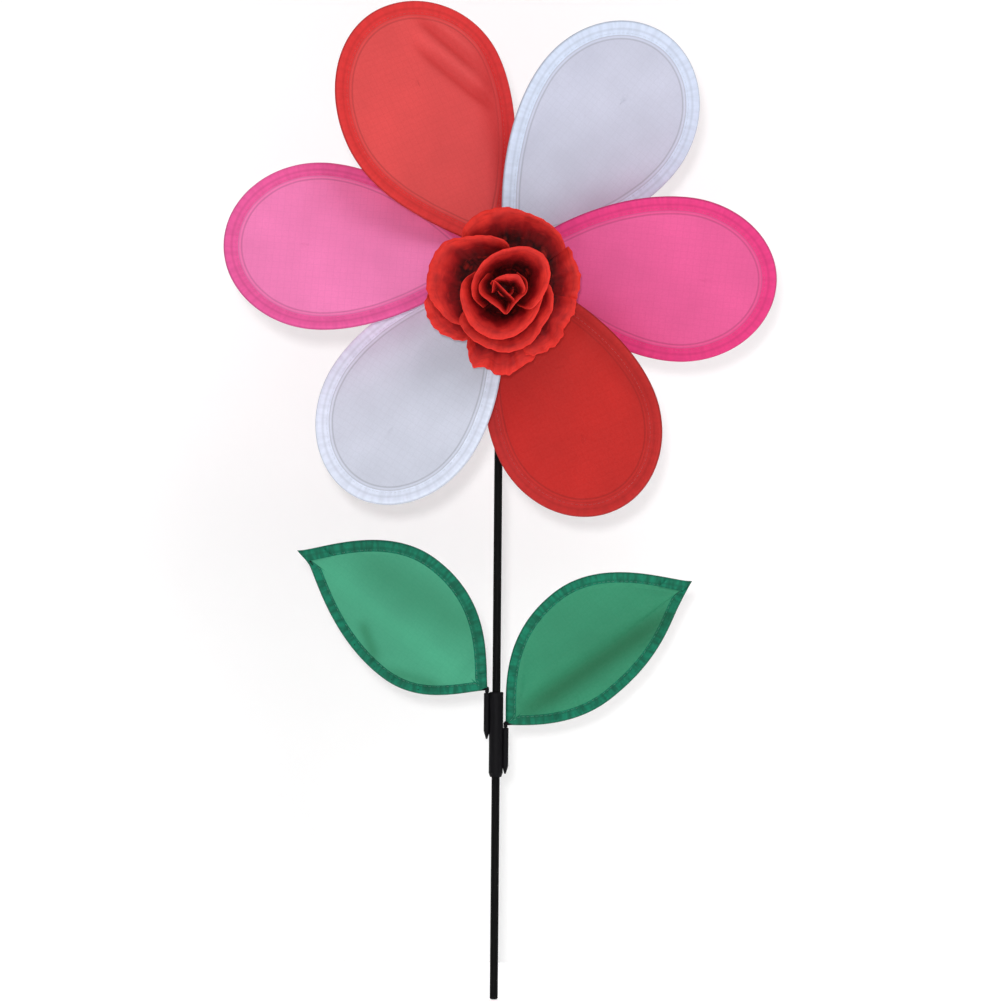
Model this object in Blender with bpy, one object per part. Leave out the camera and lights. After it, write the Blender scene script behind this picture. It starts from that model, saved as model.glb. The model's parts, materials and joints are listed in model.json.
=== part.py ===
"""Garden windmill: a cloth flower that spins on a steel axle, on a plug-together pole with two leaves.

Metres, +Z up. The origin is the centre of the pole's ground end, and the flower faces -Y.
Every moving piece hangs from an empty that stands on its joint's axis.
"""

from math import asin, cos, pi, radians, sin

import bmesh
import bpy
from mathutils import Euler, Matrix, Vector
from mathutils.geometry import interpolate_bezier

MM = 0.001
GAP = 0.3 * MM  # between neighbouring pieces

# Pole
ROD_R = 3.0 * MM
ROD_CHAMFER = 0.6 * MM
SOCKET_R = ROD_R + GAP

# Connector that joins the two rods and carries the leaves
CONNECTOR_BOTTOM = 163.5 * MM
CONNECTOR_TOP = 226 * MM
CONNECTOR_R = 5.2 * MM
ROD_SOCKET = 29 * MM  # depth of the lower rod in the connector
CONNECTOR_WEB = 3 * MM  # stop between the two rods
LOWER_ROD_TOP = CONNECTOR_BOTTOM + ROD_SOCKET
UPPER_ROD_BOTTOM = LOWER_ROD_TOP + CONNECTOR_WEB + 2 * GAP

# Leaf pockets on the connector's sides
POCKET_OFFSET = 6.9 * MM
POCKET_R = 2.3 * MM
POCKET_LENGTH = 34 * MM
POCKET_TAPER = 6 * MM
POCKET_DEPTH = 25 * MM
LEFT_POCKET_TOP = CONNECTOR_TOP - 0.7 * MM
RIGHT_POCKET_TOP = LEFT_POCKET_TOP - 25.5 * MM

# Leaf, measured from the corner where its two edges would meet
PIN_R = 1.0 * MM
LEAF_LENGTH = 169.5 * MM
LEAF_RISE = {"left": radians(35.9), "right": radians(38.2)}  # of the chord, over level
LEAF_BELLY = {"left": (64 * MM, -40.3 * MM), "right": (64 * MM, -32.3 * MM)}  # lowest point of the wire
LEAF_CORNER = Vector((2, 0, 3.4)) * MM  # corner from the middle of the pocket's mouth
KNUCKLE_R = 1.7 * MM
LEAF_ARM = 9 * MM  # wire sockets that the stem holds the leaf by
LEAF_ARM_R = 1.8 * MM
ARM_START = 0.4  # share of an arm's length where its wire starts
LEAF_UPPER_TURN = 28  # degrees from the chord
LEAF_LOWER_TURN = -23

# Flower
HUB_HEIGHT = 543 * MM
HUB_AHEAD = 34 * MM  # hub's middle ahead of the pole
PETAL_TURNS = (-5.5, 52.7, 115.5, 176.4, 238, 295.3)  # degrees from +X, as the wires sit in the hub
PETAL_PITCH = radians(20)
PETAL_REACH = 203 * MM
PETAL_WIDEST = 131 * MM  # from the spin axis to the widest place
PETAL_HALF_WIDTH = 65.8 * MM
HEM_R = 2.2 * MM  # cloth sewn round a wire
TUNNEL_R = 1.5 * MM
WIRE_R = 1.0 * MM
HALF_CLOTH = 0.3 * MM
HEM_SIDES = 7

# Petal wire's ends, which plug into the hub
ROOT = Vector((11.6, 3.3, 0)) * MM
SOCKET_TURN = 44  # degrees from the petal's middle line
ROOT_LENGTH = 9 * MM
WIRE_BORE_R = WIRE_R + 1.2 * GAP

# Hub, along the spin axis from the middle of its wire sockets, + ahead
HUB_R = 17 * MM
HUB_SHOULDER = 5.5 * MM
HUB_NOSE_R = 9 * MM
HUB_NOSE = 11 * MM
HUB_TAIL_R = 6 * MM
HUB_TAIL = -9.5 * MM
BUSH_R = 3.2 * MM
BUSH_FLANGE_R = 4.8 * MM
BUSH_FLANGE = 1 * MM
RECESS_R = 5.2 * MM
RECESS_FLOOR = 5.5 * MM

# Head on the upper rod that holds the axle
HEAD_R = 5.6 * MM
HEAD_BOTTOM = HUB_HEIGHT - 28 * MM
HEAD_TOP = HUB_HEIGHT + 6 * MM
UPPER_ROD_TOP = HUB_HEIGHT - 7 * MM
BOSS_R = 6.6 * MM
BOSS_BACK = 6.2 * MM
BOSS_FRONT = 14 * MM
AXLE_R = 1.5 * MM
BORE_R = AXLE_R + GAP
AXLE_END = 9.5 * MM  # ahead of the hub's middle

# Silk rose, which hangs below the spin axis on a bent stem
ROSE_OFFSET = Vector((2.2, -22, 25)) * MM  # right, up, ahead of the hub's middle
ROSE_TILT = radians(5)
STEM_R = 2.0 * MM
STEM_START = HUB_NOSE + 2.5 * MM
STEM_TOP = 24 * MM  # ahead of the rose's back
CAP_FRONT = HUB_NOSE + 7 * MM
CALYX_R = 13 * MM
CALYX_TOP = 6 * MM
SILK = 0.8 * MM
ROSE_SIDES = 24

AHEAD = (pi / 2, 0, 0)  # turns +Z to -Y


def clear_scene():
    for obj in list(bpy.data.objects):
        bpy.data.objects.remove(obj, do_unlink=True)


def material(name, colour, roughness, metallic=0.0):
    made = bpy.data.materials.new(name)
    made.use_nodes = True
    shader = made.node_tree.nodes["Principled BSDF"]
    shader.inputs["Base Color"].default_value = (*colour, 1.0)
    shader.inputs["Roughness"].default_value = roughness
    shader.inputs["Metallic"].default_value = metallic
    made.diffuse_color = (*colour, 1.0)
    return made


def finishes():
    """One material per kind of stuff, by name."""
    return {
        "pink": material("pink_ripstop", (0.78, 0.08, 0.26), 0.55),
        "white": material("white_ripstop", (0.72, 0.74, 0.84), 0.55),
        "red": material("red_ripstop", (0.58, 0.02, 0.02), 0.55),
        "green": material("green_ripstop", (0.02, 0.21, 0.12), 0.55),
        "silk": material("rose_silk", (0.48, 0.01, 0.012), 0.8),
        "calyx": material("calyx_plastic", (0.03, 0.12, 0.03), 0.5),
        "rod": material("black_fibreglass", (0.006, 0.006, 0.006), 0.35),
        "plastic": material("black_plastic", (0.012, 0.012, 0.014), 0.5),
        "wire": material("coated_wire", (0.008, 0.008, 0.008), 0.4),
        "steel": material("steel", (0.55, 0.56, 0.58), 0.3, 1.0),
        "nylon": material("white_nylon", (0.75, 0.74, 0.70), 0.45),
    }


# Objects


def empty(name, location=(0, 0, 0), rotation=(0, 0, 0), parent=None):
    made = bpy.data.objects.new(name, None)
    bpy.context.scene.collection.objects.link(made)
    made.location = location
    made.rotation_euler = rotation
    made.parent = parent
    return made


def piece(name, mesh, finish=None, parent=None, location=(0, 0, 0), rotation=(0, 0, 0)):
    """An object that shows a mesh, with the finish in its own slot so that copies of a mesh can differ."""
    made = bpy.data.objects.new(name, mesh)
    bpy.context.scene.collection.objects.link(made)
    made.parent = parent
    made.location = location
    made.rotation_euler = rotation
    if finish:
        if not mesh.materials:
            mesh.materials.append(finish)
        made.material_slots[0].link = "OBJECT"
        made.material_slots[0].material = finish
    return made


def boolean(target, operation, mesh, location=(0, 0, 0), rotation=(0, 0, 0)):
    """Cuts a tool from the target or joins it on. The tool stands in the frame of the target's parent."""
    name = f"{target.name}_tool_{len(target.modifiers)}"
    tool = piece(name, mesh, parent=target.parent, location=location, rotation=rotation)
    tool.hide_render = True
    tool.display_type = "WIRE"
    modifier = target.modifiers.new(operation.lower(), "BOOLEAN")
    modifier.operation = operation
    modifier.solver = "EXACT"
    modifier.object = tool


# Meshes


def finished_mesh(name, bm):
    bmesh.ops.recalc_face_normals(bm, faces=bm.faces)
    mesh = bpy.data.meshes.new(name)
    bm.to_mesh(mesh)
    bm.free()
    mesh.shade_smooth()
    mesh.set_sharp_from_angle(angle=radians(35))
    return mesh


def bridge(bm, rings, wrap_rings=False, wrap_sides=True):
    """Faces between each ring of vertices and the next. A ring that repeats one vertex closes to a point."""
    pairs = list(zip(rings, rings[1:]))
    if wrap_rings:
        pairs.append((rings[-1], rings[0]))
    sides = len(rings[0])
    for low, high in pairs:
        for k in range(sides if wrap_sides else sides - 1):
            following = (k + 1) % sides
            corners = dict.fromkeys((low[k], low[following], high[following], high[k]))
            if len(corners) > 2:
                bm.faces.new(list(corners))


def lathe(name, profile, sides=24):
    """A turned solid from (radius, height) points, with a bore unless it starts and ends on the axis."""
    bm = bmesh.new()
    turns = [2 * pi * k / sides for k in range(sides)]
    rings = []
    for radius, height in profile:
        if radius:
            rings.append([bm.verts.new((radius * cos(a), radius * sin(a), height)) for a in turns])
        else:
            rings.append([bm.verts.new((0, 0, height))] * sides)
    bridge(bm, rings, wrap_rings=profile[0][0] != 0)
    return finished_mesh(name, bm)


def directions(path):
    """The direction of travel at each point of a path."""
    ahead = path[1:] + path[-1:]
    behind = path[:1] + path[:-1]
    return [(b - a).normalized() for a, b in zip(behind, ahead)]


def ring_points(path, radius, across, angles):
    """For each point of the path, a ring round the travel direction. Angle 0 is that direction x across."""
    rings = []
    for centre, along in zip(path, directions(path)):
        start = along.cross(across).normalized()
        side = start.cross(along)
        rings.append([centre + radius * (cos(a) * start + sin(a) * side) for a in angles])
    return rings


def tube(name, path, radius, across, sides):
    """A solid round bar along a path."""
    bm = bmesh.new()
    angles = [2 * pi * (k + 0.5) / sides for k in range(sides)]
    rings = [[bm.verts.new(p) for p in ring] for ring in ring_points(path, radius, across, angles)]
    bridge(bm, rings)
    bm.faces.new(rings[0])
    bm.faces.new(rings[-1])
    return finished_mesh(name, bm)


def curve(knots, steps):
    """Points of a flat curve. A knot is (x, y, travel direction in degrees, reach before, reach after)."""
    points = []
    for (x0, y0, turn0, _, reach0), (x1, y1, turn1, reach1, _), count in zip(knots, knots[1:], steps):
        start = Vector((x0, y0, 0))
        end = Vector((x1, y1, 0))
        leaving = start + reach0 * heading(turn0)
        arriving = end - reach1 * heading(turn1)
        points += interpolate_bezier(start, leaving, arriving, end, count + 1)[:-1]
    return points + [end]


def heading(degrees):
    return Vector((cos(radians(degrees)), sin(radians(degrees)), 0))


def hem_angles():
    """Angles round a hem, from the top of the cloth that leaves it to the underside."""
    start = asin(HALF_CLOTH / HEM_R)
    return [start + (2 * pi - 2 * start) * k / (HEM_SIDES - 1) for k in range(HEM_SIDES)]


def sail_mesh(name, path):
    """Flat cloth inside a hem: one closed sheet whose rim holds a tunnel that is open at both ends."""
    bm = bmesh.new()
    up = Vector((0, 0, 1))
    angles = hem_angles()
    hem = [[bm.verts.new(p) for p in ring] for ring in ring_points(path, HEM_R, up, angles)]
    tunnel = [[bm.verts.new(p) for p in ring] for ring in ring_points(path, TUNNEL_R, up, angles)]
    bridge(bm, hem, wrap_sides=False)
    bridge(bm, tunnel)
    for end in (0, -1):
        bridge(bm, [hem[end], tunnel[end]])
    for surface in (0, -1):
        edge = [ring[surface] for ring in hem]
        half = len(edge) // 2
        bridge(bm, [[edge[k], edge[-1 - k]] for k in range(half)] + [[edge[half]] * 2], wrap_sides=False)
    bm.faces.new((hem[0][0], hem[-1][0], hem[-1][-1], hem[0][-1]))
    return finished_mesh(name, bm)


def wire_mesh(name, path):
    """A wire whose facets lie along those of the tunnel round it."""
    bm = bmesh.new()
    rings = ring_points(path, WIRE_R, Vector((0, 0, 1)), hem_angles())
    rings = [[bm.verts.new(p) for p in ring] for ring in rings]
    bridge(bm, rings)
    bm.faces.new(rings[0])
    bm.faces.new(rings[-1])
    return finished_mesh(name, bm)


# Pole


def rod_mesh(name, bottom, top):
    inner = ROD_R - ROD_CHAMFER
    profile = [
        (0, bottom),
        (inner, bottom),
        (ROD_R, bottom + ROD_CHAMFER),
        (ROD_R, top - ROD_CHAMFER),
        (inner, top),
        (0, top),
    ]
    return lathe(name, profile)


def build_connector(paint, parent):
    """Two rod sockets end to end, and a pocket on each side for a leaf's pin."""
    edge = 0.5 * MM
    barrel = [
        (0, CONNECTOR_BOTTOM),
        (CONNECTOR_R - 2 * edge, CONNECTOR_BOTTOM),
        (CONNECTOR_R, CONNECTOR_BOTTOM + 6 * edge),
        (CONNECTOR_R, CONNECTOR_TOP - edge),
        (CONNECTOR_R - edge, CONNECTOR_TOP),
        (0, CONNECTOR_TOP),
    ]
    connector = piece("leaf_connector", lathe("leaf_connector", barrel, 28), paint["plastic"], parent)
    pocket = [
        (0, -POCKET_LENGTH),
        (POCKET_R / 4, -POCKET_LENGTH),
        (POCKET_R, POCKET_TAPER - POCKET_LENGTH),
        (POCKET_R, -edge),
        (POCKET_R - edge, 0),
        (0, 0),
    ]
    pocket_mesh = lathe("pocket", pocket, 20)
    bore_mesh = cylinder("pocket_bore", PIN_R + 1.3 * GAP, -POCKET_DEPTH, POCKET_DEPTH, 16)
    places = [(-POCKET_OFFSET, 0, LEFT_POCKET_TOP), (POCKET_OFFSET, 0, RIGHT_POCKET_TOP)]
    for place in places:
        boolean(connector, "UNION", pocket_mesh, place)
    for place in places:
        boolean(connector, "DIFFERENCE", bore_mesh, place)
    below = CONNECTOR_BOTTOM - ROD_SOCKET
    above = CONNECTOR_TOP + ROD_SOCKET
    boolean(connector, "DIFFERENCE", cylinder("lower_socket", SOCKET_R, below, LOWER_ROD_TOP + GAP))
    boolean(connector, "DIFFERENCE", cylinder("upper_socket", SOCKET_R, UPPER_ROD_BOTTOM - GAP, above))


def cylinder(name, radius, bottom, top, sides=24):
    return lathe(name, [(0, bottom), (radius, bottom), (radius, top), (0, top)], sides)


# Leaves


def leaf_path(side):
    """The wire's line from the stem's upper arm round the leaf to its lower arm, its chord along +X."""
    upper = LEAF_ARM * heading(LEAF_UPPER_TURN)
    lower = LEAF_ARM * heading(LEAF_LOWER_TURN)
    tip = LEAF_LENGTH - HEM_R
    shoulder = tip - 9 * MM
    knots = [
        (upper.x, upper.y, LEAF_UPPER_TURN, 0, 9 * MM),
        (86 * MM, 53.2 * MM, 0, 52 * MM, 44 * MM),
        (shoulder, 5.6 * MM, -31, 8 * MM, 4 * MM),
        (tip, 0, -90, 2.6 * MM, 2.6 * MM),
        (shoulder, -5.3 * MM, -150, 4 * MM, 12 * MM),
        (*LEAF_BELLY[side], 180, 52 * MM, 33 * MM),
        (lower.x, lower.y, 180 + LEAF_LOWER_TURN, 5 * MM, 0),
    ]
    return curve(knots, (6, 5, 2, 2, 5, 6))


def leaf_frame(side):
    """Stands a flat leaf up: chord rising from +X, face to -Y, corner above the pocket's mouth."""
    stand = Matrix.Rotation(pi / 2, 4, "X") @ Matrix.Rotation(LEAF_RISE[side], 4, "Z")
    return Matrix.Translation(LEAF_CORNER) @ stand


def leaf_meshes(side):
    """The sail, which starts just past the stem's arms, and the wire, whose ends go into them."""
    path = leaf_path(side)
    past_arm = 1 + 3 * GAP / LEAF_ARM
    sail = sail_mesh("leaf_sail", [path[0] * past_arm] + path[1:-1] + [path[-1] * past_arm])
    wire = wire_mesh("leaf_wire", [path[0] * ARM_START] + path + [path[-1] * ARM_START])
    return sail, wire


def build_leaf(side, turn, mouth, paint, parent):
    """A leaf on its own upright hinge: moulded stem, wire and cloth."""
    hinge = empty(f"{side}_leaf_hinge", (POCKET_OFFSET * cos(turn), 0, mouth), (0, 0, turn), parent)
    plane = empty(f"{side}_leaf_plane", parent=hinge)
    plane.matrix_local = leaf_frame(side)
    sail, wire = leaf_meshes(side)
    piece(f"{side}_leaf_sail", sail, paint["green"], plane)
    piece(f"{side}_leaf_wire", wire, paint["wire"], plane)
    pin = [
        (0, GAP - POCKET_DEPTH),
        (0.8 * PIN_R, GAP - POCKET_DEPTH),
        (PIN_R, 2 * GAP - POCKET_DEPTH),
        (PIN_R, GAP),
        (1.5 * PIN_R, GAP),
        (1.5 * PIN_R, LEAF_CORNER.z),
        (PIN_R, LEAF_CORNER.z + 1 * MM),
        (0, LEAF_CORNER.z + 1.4 * MM),
    ]
    stem = piece(f"{side}_leaf_stem", lathe(f"{side}_leaf_stem", pin, 16), paint["plastic"], hinge)
    arc = [pi * k / 6 for k in range(7)]
    ball = [(0 if k in (0, 6) else KNUCKLE_R * sin(a), -KNUCKLE_R * cos(a)) for k, a in enumerate(arc)]
    boolean(stem, "UNION", lathe("leaf_knuckle", ball, 14), LEAF_CORNER)
    arm = cylinder("leaf_arm", LEAF_ARM_R, 0, LEAF_ARM, 12)
    bore = cylinder("leaf_arm_bore", WIRE_BORE_R, (ARM_START - 0.05) * LEAF_ARM, 2 * LEAF_ARM, 10)
    aims = []
    for degrees in (LEAF_UPPER_TURN, LEAF_LOWER_TURN):
        direction = leaf_frame(side).to_3x3() @ heading(degrees)
        aims.append(direction.to_track_quat("Z", "Y").to_euler())
    for tool, operation in ((arm, "UNION"), (bore, "DIFFERENCE")):
        for aim in aims:
            boolean(stem, operation, tool, LEAF_CORNER, aim)


# Mast


def build_mast(paint, mast):
    """The upper rod, the moulded head on its end, and the axle with what stays still on it."""
    piece("upper_rod", rod_mesh("upper_rod", UPPER_ROD_BOTTOM, UPPER_ROD_TOP), paint["rod"], mast)
    edge = 0.6 * MM
    shell = [
        (0, HEAD_BOTTOM),
        (HEAD_R - edge, HEAD_BOTTOM),
        (HEAD_R, HEAD_BOTTOM + edge),
        (HEAD_R, HEAD_TOP - 2.4 * MM),
        (HEAD_R - 1.6 * MM, HEAD_TOP - edge),
        (0, HEAD_TOP),
    ]
    head = piece("axle_head", lathe("axle_head", shell), paint["plastic"], mast)
    boss = [
        (0, -BOSS_BACK),
        (BOSS_R - edge, -BOSS_BACK),
        (BOSS_R, edge - BOSS_BACK),
        (BOSS_R, BOSS_BACK),
        (0.7 * BOSS_R, BOSS_FRONT),
        (0, BOSS_FRONT),
    ]
    place = (0, 0, HUB_HEIGHT)
    boolean(head, "UNION", lathe("axle_boss", boss), place, AHEAD)
    rod_socket = cylinder("rod_socket", SOCKET_R, HEAD_BOTTOM - ROD_SOCKET, UPPER_ROD_TOP + GAP)
    boolean(head, "DIFFERENCE", rod_socket)
    axle_bore = cylinder("axle_bore", BORE_R, -2 * BOSS_BACK, 2 * BOSS_FRONT, 16)
    boolean(head, "DIFFERENCE", axle_bore, place, AHEAD)

    nose = HUB_AHEAD + AXLE_END
    back = -BOSS_BACK - GAP
    axle = [
        (0, back - 1.6 * MM),
        (1.5 * AXLE_R, back - 1.6 * MM),
        (2 * AXLE_R, back - 1 * MM),
        (2 * AXLE_R, back),
        (AXLE_R, back),
        (AXLE_R, nose - edge),
        (AXLE_R - edge, nose),
        (0, nose),
    ]
    piece("axle", lathe("axle", axle, 16), paint["steel"], mast, place, AHEAD)
    spacer_front = HUB_AHEAD + HUB_TAIL - BUSH_FLANGE - 2 * GAP
    spacer = sleeve("rear_spacer", BORE_R, BUSH_R + GAP, BOSS_FRONT + GAP, spacer_front)
    piece("rear_spacer", spacer, paint["nylon"], mast, place, AHEAD)
    washer_back = HUB_AHEAD + RECESS_FLOOR + GAP
    washer_front = washer_back + 0.8 * MM
    washer = sleeve("front_washer", BORE_R, RECESS_R - 2 * GAP, washer_back, washer_front)
    piece("front_washer", washer, paint["steel"], mast, place, AHEAD)
    clip_back = washer_front + GAP
    clip_front = clip_back + 1.2 * MM
    clip = [
        (BORE_R, clip_back),
        (RECESS_R - 1 * MM, clip_back),
        (RECESS_R - 1 * MM, clip_back + edge),
        (BORE_R + 0.8 * MM, clip_front),
        (BORE_R, clip_front),
    ]
    piece("axle_retainer", lathe("axle_retainer", clip, 16), paint["steel"], mast, place, AHEAD)


def sleeve(name, inner, outer, bottom, top, sides=20):
    return lathe(name, [(inner, bottom), (outer, bottom), (outer, top), (inner, top)], sides)


# Flower


def petal_path():
    """The wire's line outside the hub, from a petal's leading end round its tip to the trailing end."""
    start = ROOT + ROOT_LENGTH * heading(SOCKET_TURN)
    wide = PETAL_HALF_WIDTH - HEM_R
    tip = PETAL_REACH - HEM_R
    quarter = 0.55  # handle that makes a quarter ellipse
    outward = quarter * (tip - PETAL_WIDEST)
    knots = [
        (start.x, start.y, SOCKET_TURN, 0, 40 * MM),
        (PETAL_WIDEST, wide, 0, 40 * MM, outward),
        (tip, 0, -90, quarter * wide, quarter * wide),
        (PETAL_WIDEST, -wide, 180, outward, 40 * MM),
        (start.x, -start.y, 180 - SOCKET_TURN, 40 * MM, 0),
    ]
    return curve(knots, (4, 5, 5, 4))


def across_x(point):
    return Vector((point.x, -point.y, point.z))


def wire_bores():
    """The tools for the hub's wire sockets, two for each petal, as one mesh."""
    bm = bmesh.new()
    angles = [2 * pi * k / 10 for k in range(10)]
    inner = ROOT - 0.4 * MM * heading(SOCKET_TURN)
    outer = ROOT + ROOT_LENGTH * heading(SOCKET_TURN)
    for degrees in PETAL_TURNS:
        plane = Euler((PETAL_PITCH, 0, radians(degrees))).to_matrix()
        for line in ([inner, outer], [across_x(inner), across_x(outer)]):
            rings = ring_points(line, WIRE_BORE_R, Vector((0, 0, 1)), angles)
            rings = [[bm.verts.new(plane @ p) for p in ring] for ring in rings]
            bridge(bm, rings)
            bm.faces.new(rings[0])
            bm.faces.new(rings[-1])
    return finished_mesh("wire_bores", bm)


def build_hub(paint, flower):
    """The moulded hub with its bush, and the cap that the rose's stem plugs into."""
    bore = BUSH_R + GAP
    rim = HUB_R - 2 * MM
    barrel = [
        (bore, HUB_TAIL),
        (HUB_TAIL_R, HUB_TAIL),
        (HUB_TAIL_R, -HUB_SHOULDER - 1.5 * MM),
        (rim, -HUB_SHOULDER - 1.5 * MM),
        (HUB_R, -HUB_SHOULDER),
        (HUB_R, HUB_SHOULDER),
        (rim, HUB_SHOULDER + 1.5 * MM),
        (HUB_NOSE_R, HUB_SHOULDER + 2.5 * MM),
        (HUB_NOSE_R, HUB_NOSE),
        (RECESS_R, HUB_NOSE),
        (RECESS_R, RECESS_FLOOR),
        (bore, RECESS_FLOOR),
    ]
    hub = piece("hub", lathe("hub", barrel, 30), paint["plastic"], flower)
    boolean(hub, "DIFFERENCE", wire_bores())
    flange_front = HUB_TAIL - GAP
    flange_back = flange_front - BUSH_FLANGE
    bush = [
        (BORE_R, flange_back),
        (BUSH_FLANGE_R, flange_back),
        (BUSH_FLANGE_R, flange_front),
        (BUSH_R, flange_front),
        (BUSH_R, RECESS_FLOOR - GAP),
        (BORE_R, RECESS_FLOOR - GAP),
    ]
    piece("hub_bush", lathe("hub_bush", bush, 20), paint["nylon"], flower)
    plug_outer = RECESS_R - GAP
    plug_inner = plug_outer - 1.3 * MM
    socket = STEM_R + GAP
    cap = [
        (0, HUB_NOSE + 0.4 * MM),
        (plug_inner, HUB_NOSE + 0.4 * MM),
        (plug_inner, HUB_NOSE - 2.3 * MM),
        (plug_outer, HUB_NOSE - 2.3 * MM),
        (plug_outer, HUB_NOSE + GAP),
        (HUB_NOSE_R, HUB_NOSE + GAP),
        (HUB_NOSE_R, HUB_NOSE + 1.8 * MM),
        (HUB_NOSE_R - 1 * MM, HUB_NOSE + 2.8 * MM),
        (2 * STEM_R, HUB_NOSE + 3.4 * MM),
        (2 * STEM_R, CAP_FRONT),
        (socket, CAP_FRONT),
        (socket, STEM_START - GAP),
        (0, STEM_START - GAP),
    ]
    piece("hub_cap", lathe("hub_cap", cap), paint["plastic"], flower)


def build_petals(paint, flower):
    """The petals, which share one sail and one wire, each pitched in the hub like a fan's blade."""
    path = petal_path()
    sail = sail_mesh("petal_sail", path)
    wire = wire_mesh("petal_wire", [ROOT] + path + [across_x(ROOT)])
    colours = ("pink", "white", "red")
    for number, degrees in enumerate(PETAL_TURNS):
        turn = (PETAL_PITCH, 0, radians(degrees))
        plane = empty(f"petal_plane_{number + 1}", rotation=turn, parent=flower)
        colour = colours[number % len(colours)]
        piece(f"petal_sail_{number + 1}", sail, paint[colour], plane)
        piece(f"petal_wire_{number + 1}", wire, paint["wire"], plane)


# Rose


def rose_layer(name, base, rim, height, curl, lobes, turn):
    """A cupped ring of silk, glued round the stem, whose edge swells into lobes."""
    rows = 6
    inner = STEM_R + GAP
    front = []
    for row in range(rows + 1):
        out = row / rows
        bend = out * pi / 2
        rise = height * (1 - cos(bend)) - curl * out**4
        front.append(Vector((inner + (rim - inner) * sin(bend), 0, base + rise)))
    back = [p + SILK * Vector((d.z, 0, -d.x)) for p, d in zip(front, directions(front))]
    shares = [row / rows for row in range(rows + 1)]
    bm = bmesh.new()
    rings = []
    for point, out in list(zip(front, shares)) + list(zip(back, shares))[::-1]:
        ring = []
        for k in range(ROSE_SIDES):
            angle = 2 * pi * k / ROSE_SIDES
            radius = point.x * (1 + 0.07 * out**2 * cos(lobes * angle + turn))
            ring.append(bm.verts.new((radius * cos(angle), radius * sin(angle), point.z)))
        rings.append(ring)
    bridge(bm, rings, wrap_rings=True)
    return finished_mesh(name, bm)


def build_rose(paint, flower):
    """A bent stem from the hub cap, threaded through calyx, four rings of petals and the bud."""
    rose = empty("rose_frame", ROSE_OFFSET, (ROSE_TILT, 0, 0), flower)
    ahead = Vector((0, 0, 1))
    faces = Euler((ROSE_TILT, 0, 0)).to_matrix() @ ahead
    leaves = CAP_FRONT * ahead
    bend = interpolate_bezier(leaves, leaves + 8 * MM * ahead, ROSE_OFFSET - 8 * MM * faces, ROSE_OFFSET, 9)
    path = [STEM_START * ahead] + bend + [ROSE_OFFSET + STEM_TOP * faces]
    piece("rose_stem", tube("rose_stem", path, STEM_R, Vector((1, 0, 0)), 10), paint["calyx"], flower)

    inner = STEM_R + GAP
    calyx = [
        (inner, 1 * MM),
        (STEM_R + 2 * MM, 1 * MM),
        (CALYX_R, CALYX_TOP - 1.5 * MM),
        (CALYX_R, CALYX_TOP),
        (inner, CALYX_TOP),
    ]
    piece("rose_calyx", lathe("rose_calyx", calyx, 20), paint["calyx"], rose)
    layers = (
        ("rose_outer_petals", 60, 22, 7, 5, 0.4),
        ("rose_wide_petals", 48, 33, 3, 4, 2.0),
        ("rose_middle_petals", 35, 38, 0, 3, 0.9),
        ("rose_inner_petals", 22, 40, 0, 3, 2.6),
    )
    base = CALYX_TOP
    for name, rim, height, curl, lobes, turn in layers:
        base += GAP + SILK
        mesh = rose_layer(name, base, rim * MM, height * MM, curl * MM, lobes, turn)
        piece(name, mesh, paint["silk"], rose)
    foot = base + GAP
    bud = [
        (0, STEM_TOP + GAP),
        (inner, STEM_TOP + GAP),
        (inner, foot),
        (6 * MM, foot + 3 * MM),
        (11 * MM, foot + 15 * MM),
        (9.5 * MM, foot + 27 * MM),
        (4 * MM, foot + 38 * MM),
        (0, foot + 41 * MM),
    ]
    piece("rose_bud", lathe("rose_bud", bud, 20), paint["silk"], rose)


# Whole


def build():
    clear_scene()
    paint = finishes()
    piece("lower_rod", rod_mesh("lower_rod", 0, LOWER_ROD_TOP), paint["rod"])
    connector = empty("connector_slide")
    build_connector(paint, connector)
    build_leaf("left", pi, LEFT_POCKET_TOP, paint, connector)
    build_leaf("right", 0, RIGHT_POCKET_TOP, paint, connector)
    mast = empty("mast_turn", parent=connector)
    build_mast(paint, mast)
    flower = empty("flower_spin", (0, -HUB_AHEAD, HUB_HEIGHT), AHEAD, mast)
    build_hub(paint, flower)
    build_petals(paint, flower)
    build_rose(paint, flower)


build()
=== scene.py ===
"""Looks of the garden windmill: hemmed ripstop petals and leaves, a silk rose, and their black rod."""

import json
from math import cos, pi, radians, sin

import bpy
import numpy as np
from mathutils import Matrix, Vector


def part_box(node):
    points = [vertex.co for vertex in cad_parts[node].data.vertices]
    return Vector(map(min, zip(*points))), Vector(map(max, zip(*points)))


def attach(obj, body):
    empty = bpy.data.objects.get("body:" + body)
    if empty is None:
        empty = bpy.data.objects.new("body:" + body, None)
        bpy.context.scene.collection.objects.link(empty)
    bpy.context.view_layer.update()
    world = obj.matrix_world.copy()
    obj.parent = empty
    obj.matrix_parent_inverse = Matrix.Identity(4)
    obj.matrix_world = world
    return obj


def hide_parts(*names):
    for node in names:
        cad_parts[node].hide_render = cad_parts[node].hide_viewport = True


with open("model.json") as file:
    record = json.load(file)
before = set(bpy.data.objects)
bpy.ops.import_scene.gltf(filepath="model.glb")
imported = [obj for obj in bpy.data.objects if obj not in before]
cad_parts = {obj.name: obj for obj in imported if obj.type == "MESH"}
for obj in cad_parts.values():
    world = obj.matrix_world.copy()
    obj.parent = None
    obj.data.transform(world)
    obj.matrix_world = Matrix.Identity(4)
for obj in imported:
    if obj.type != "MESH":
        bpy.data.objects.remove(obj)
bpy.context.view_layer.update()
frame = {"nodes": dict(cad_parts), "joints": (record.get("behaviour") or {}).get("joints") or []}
joints = {joint["name"]: joint for joint in frame["joints"]}

MM = 0.001

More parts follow.
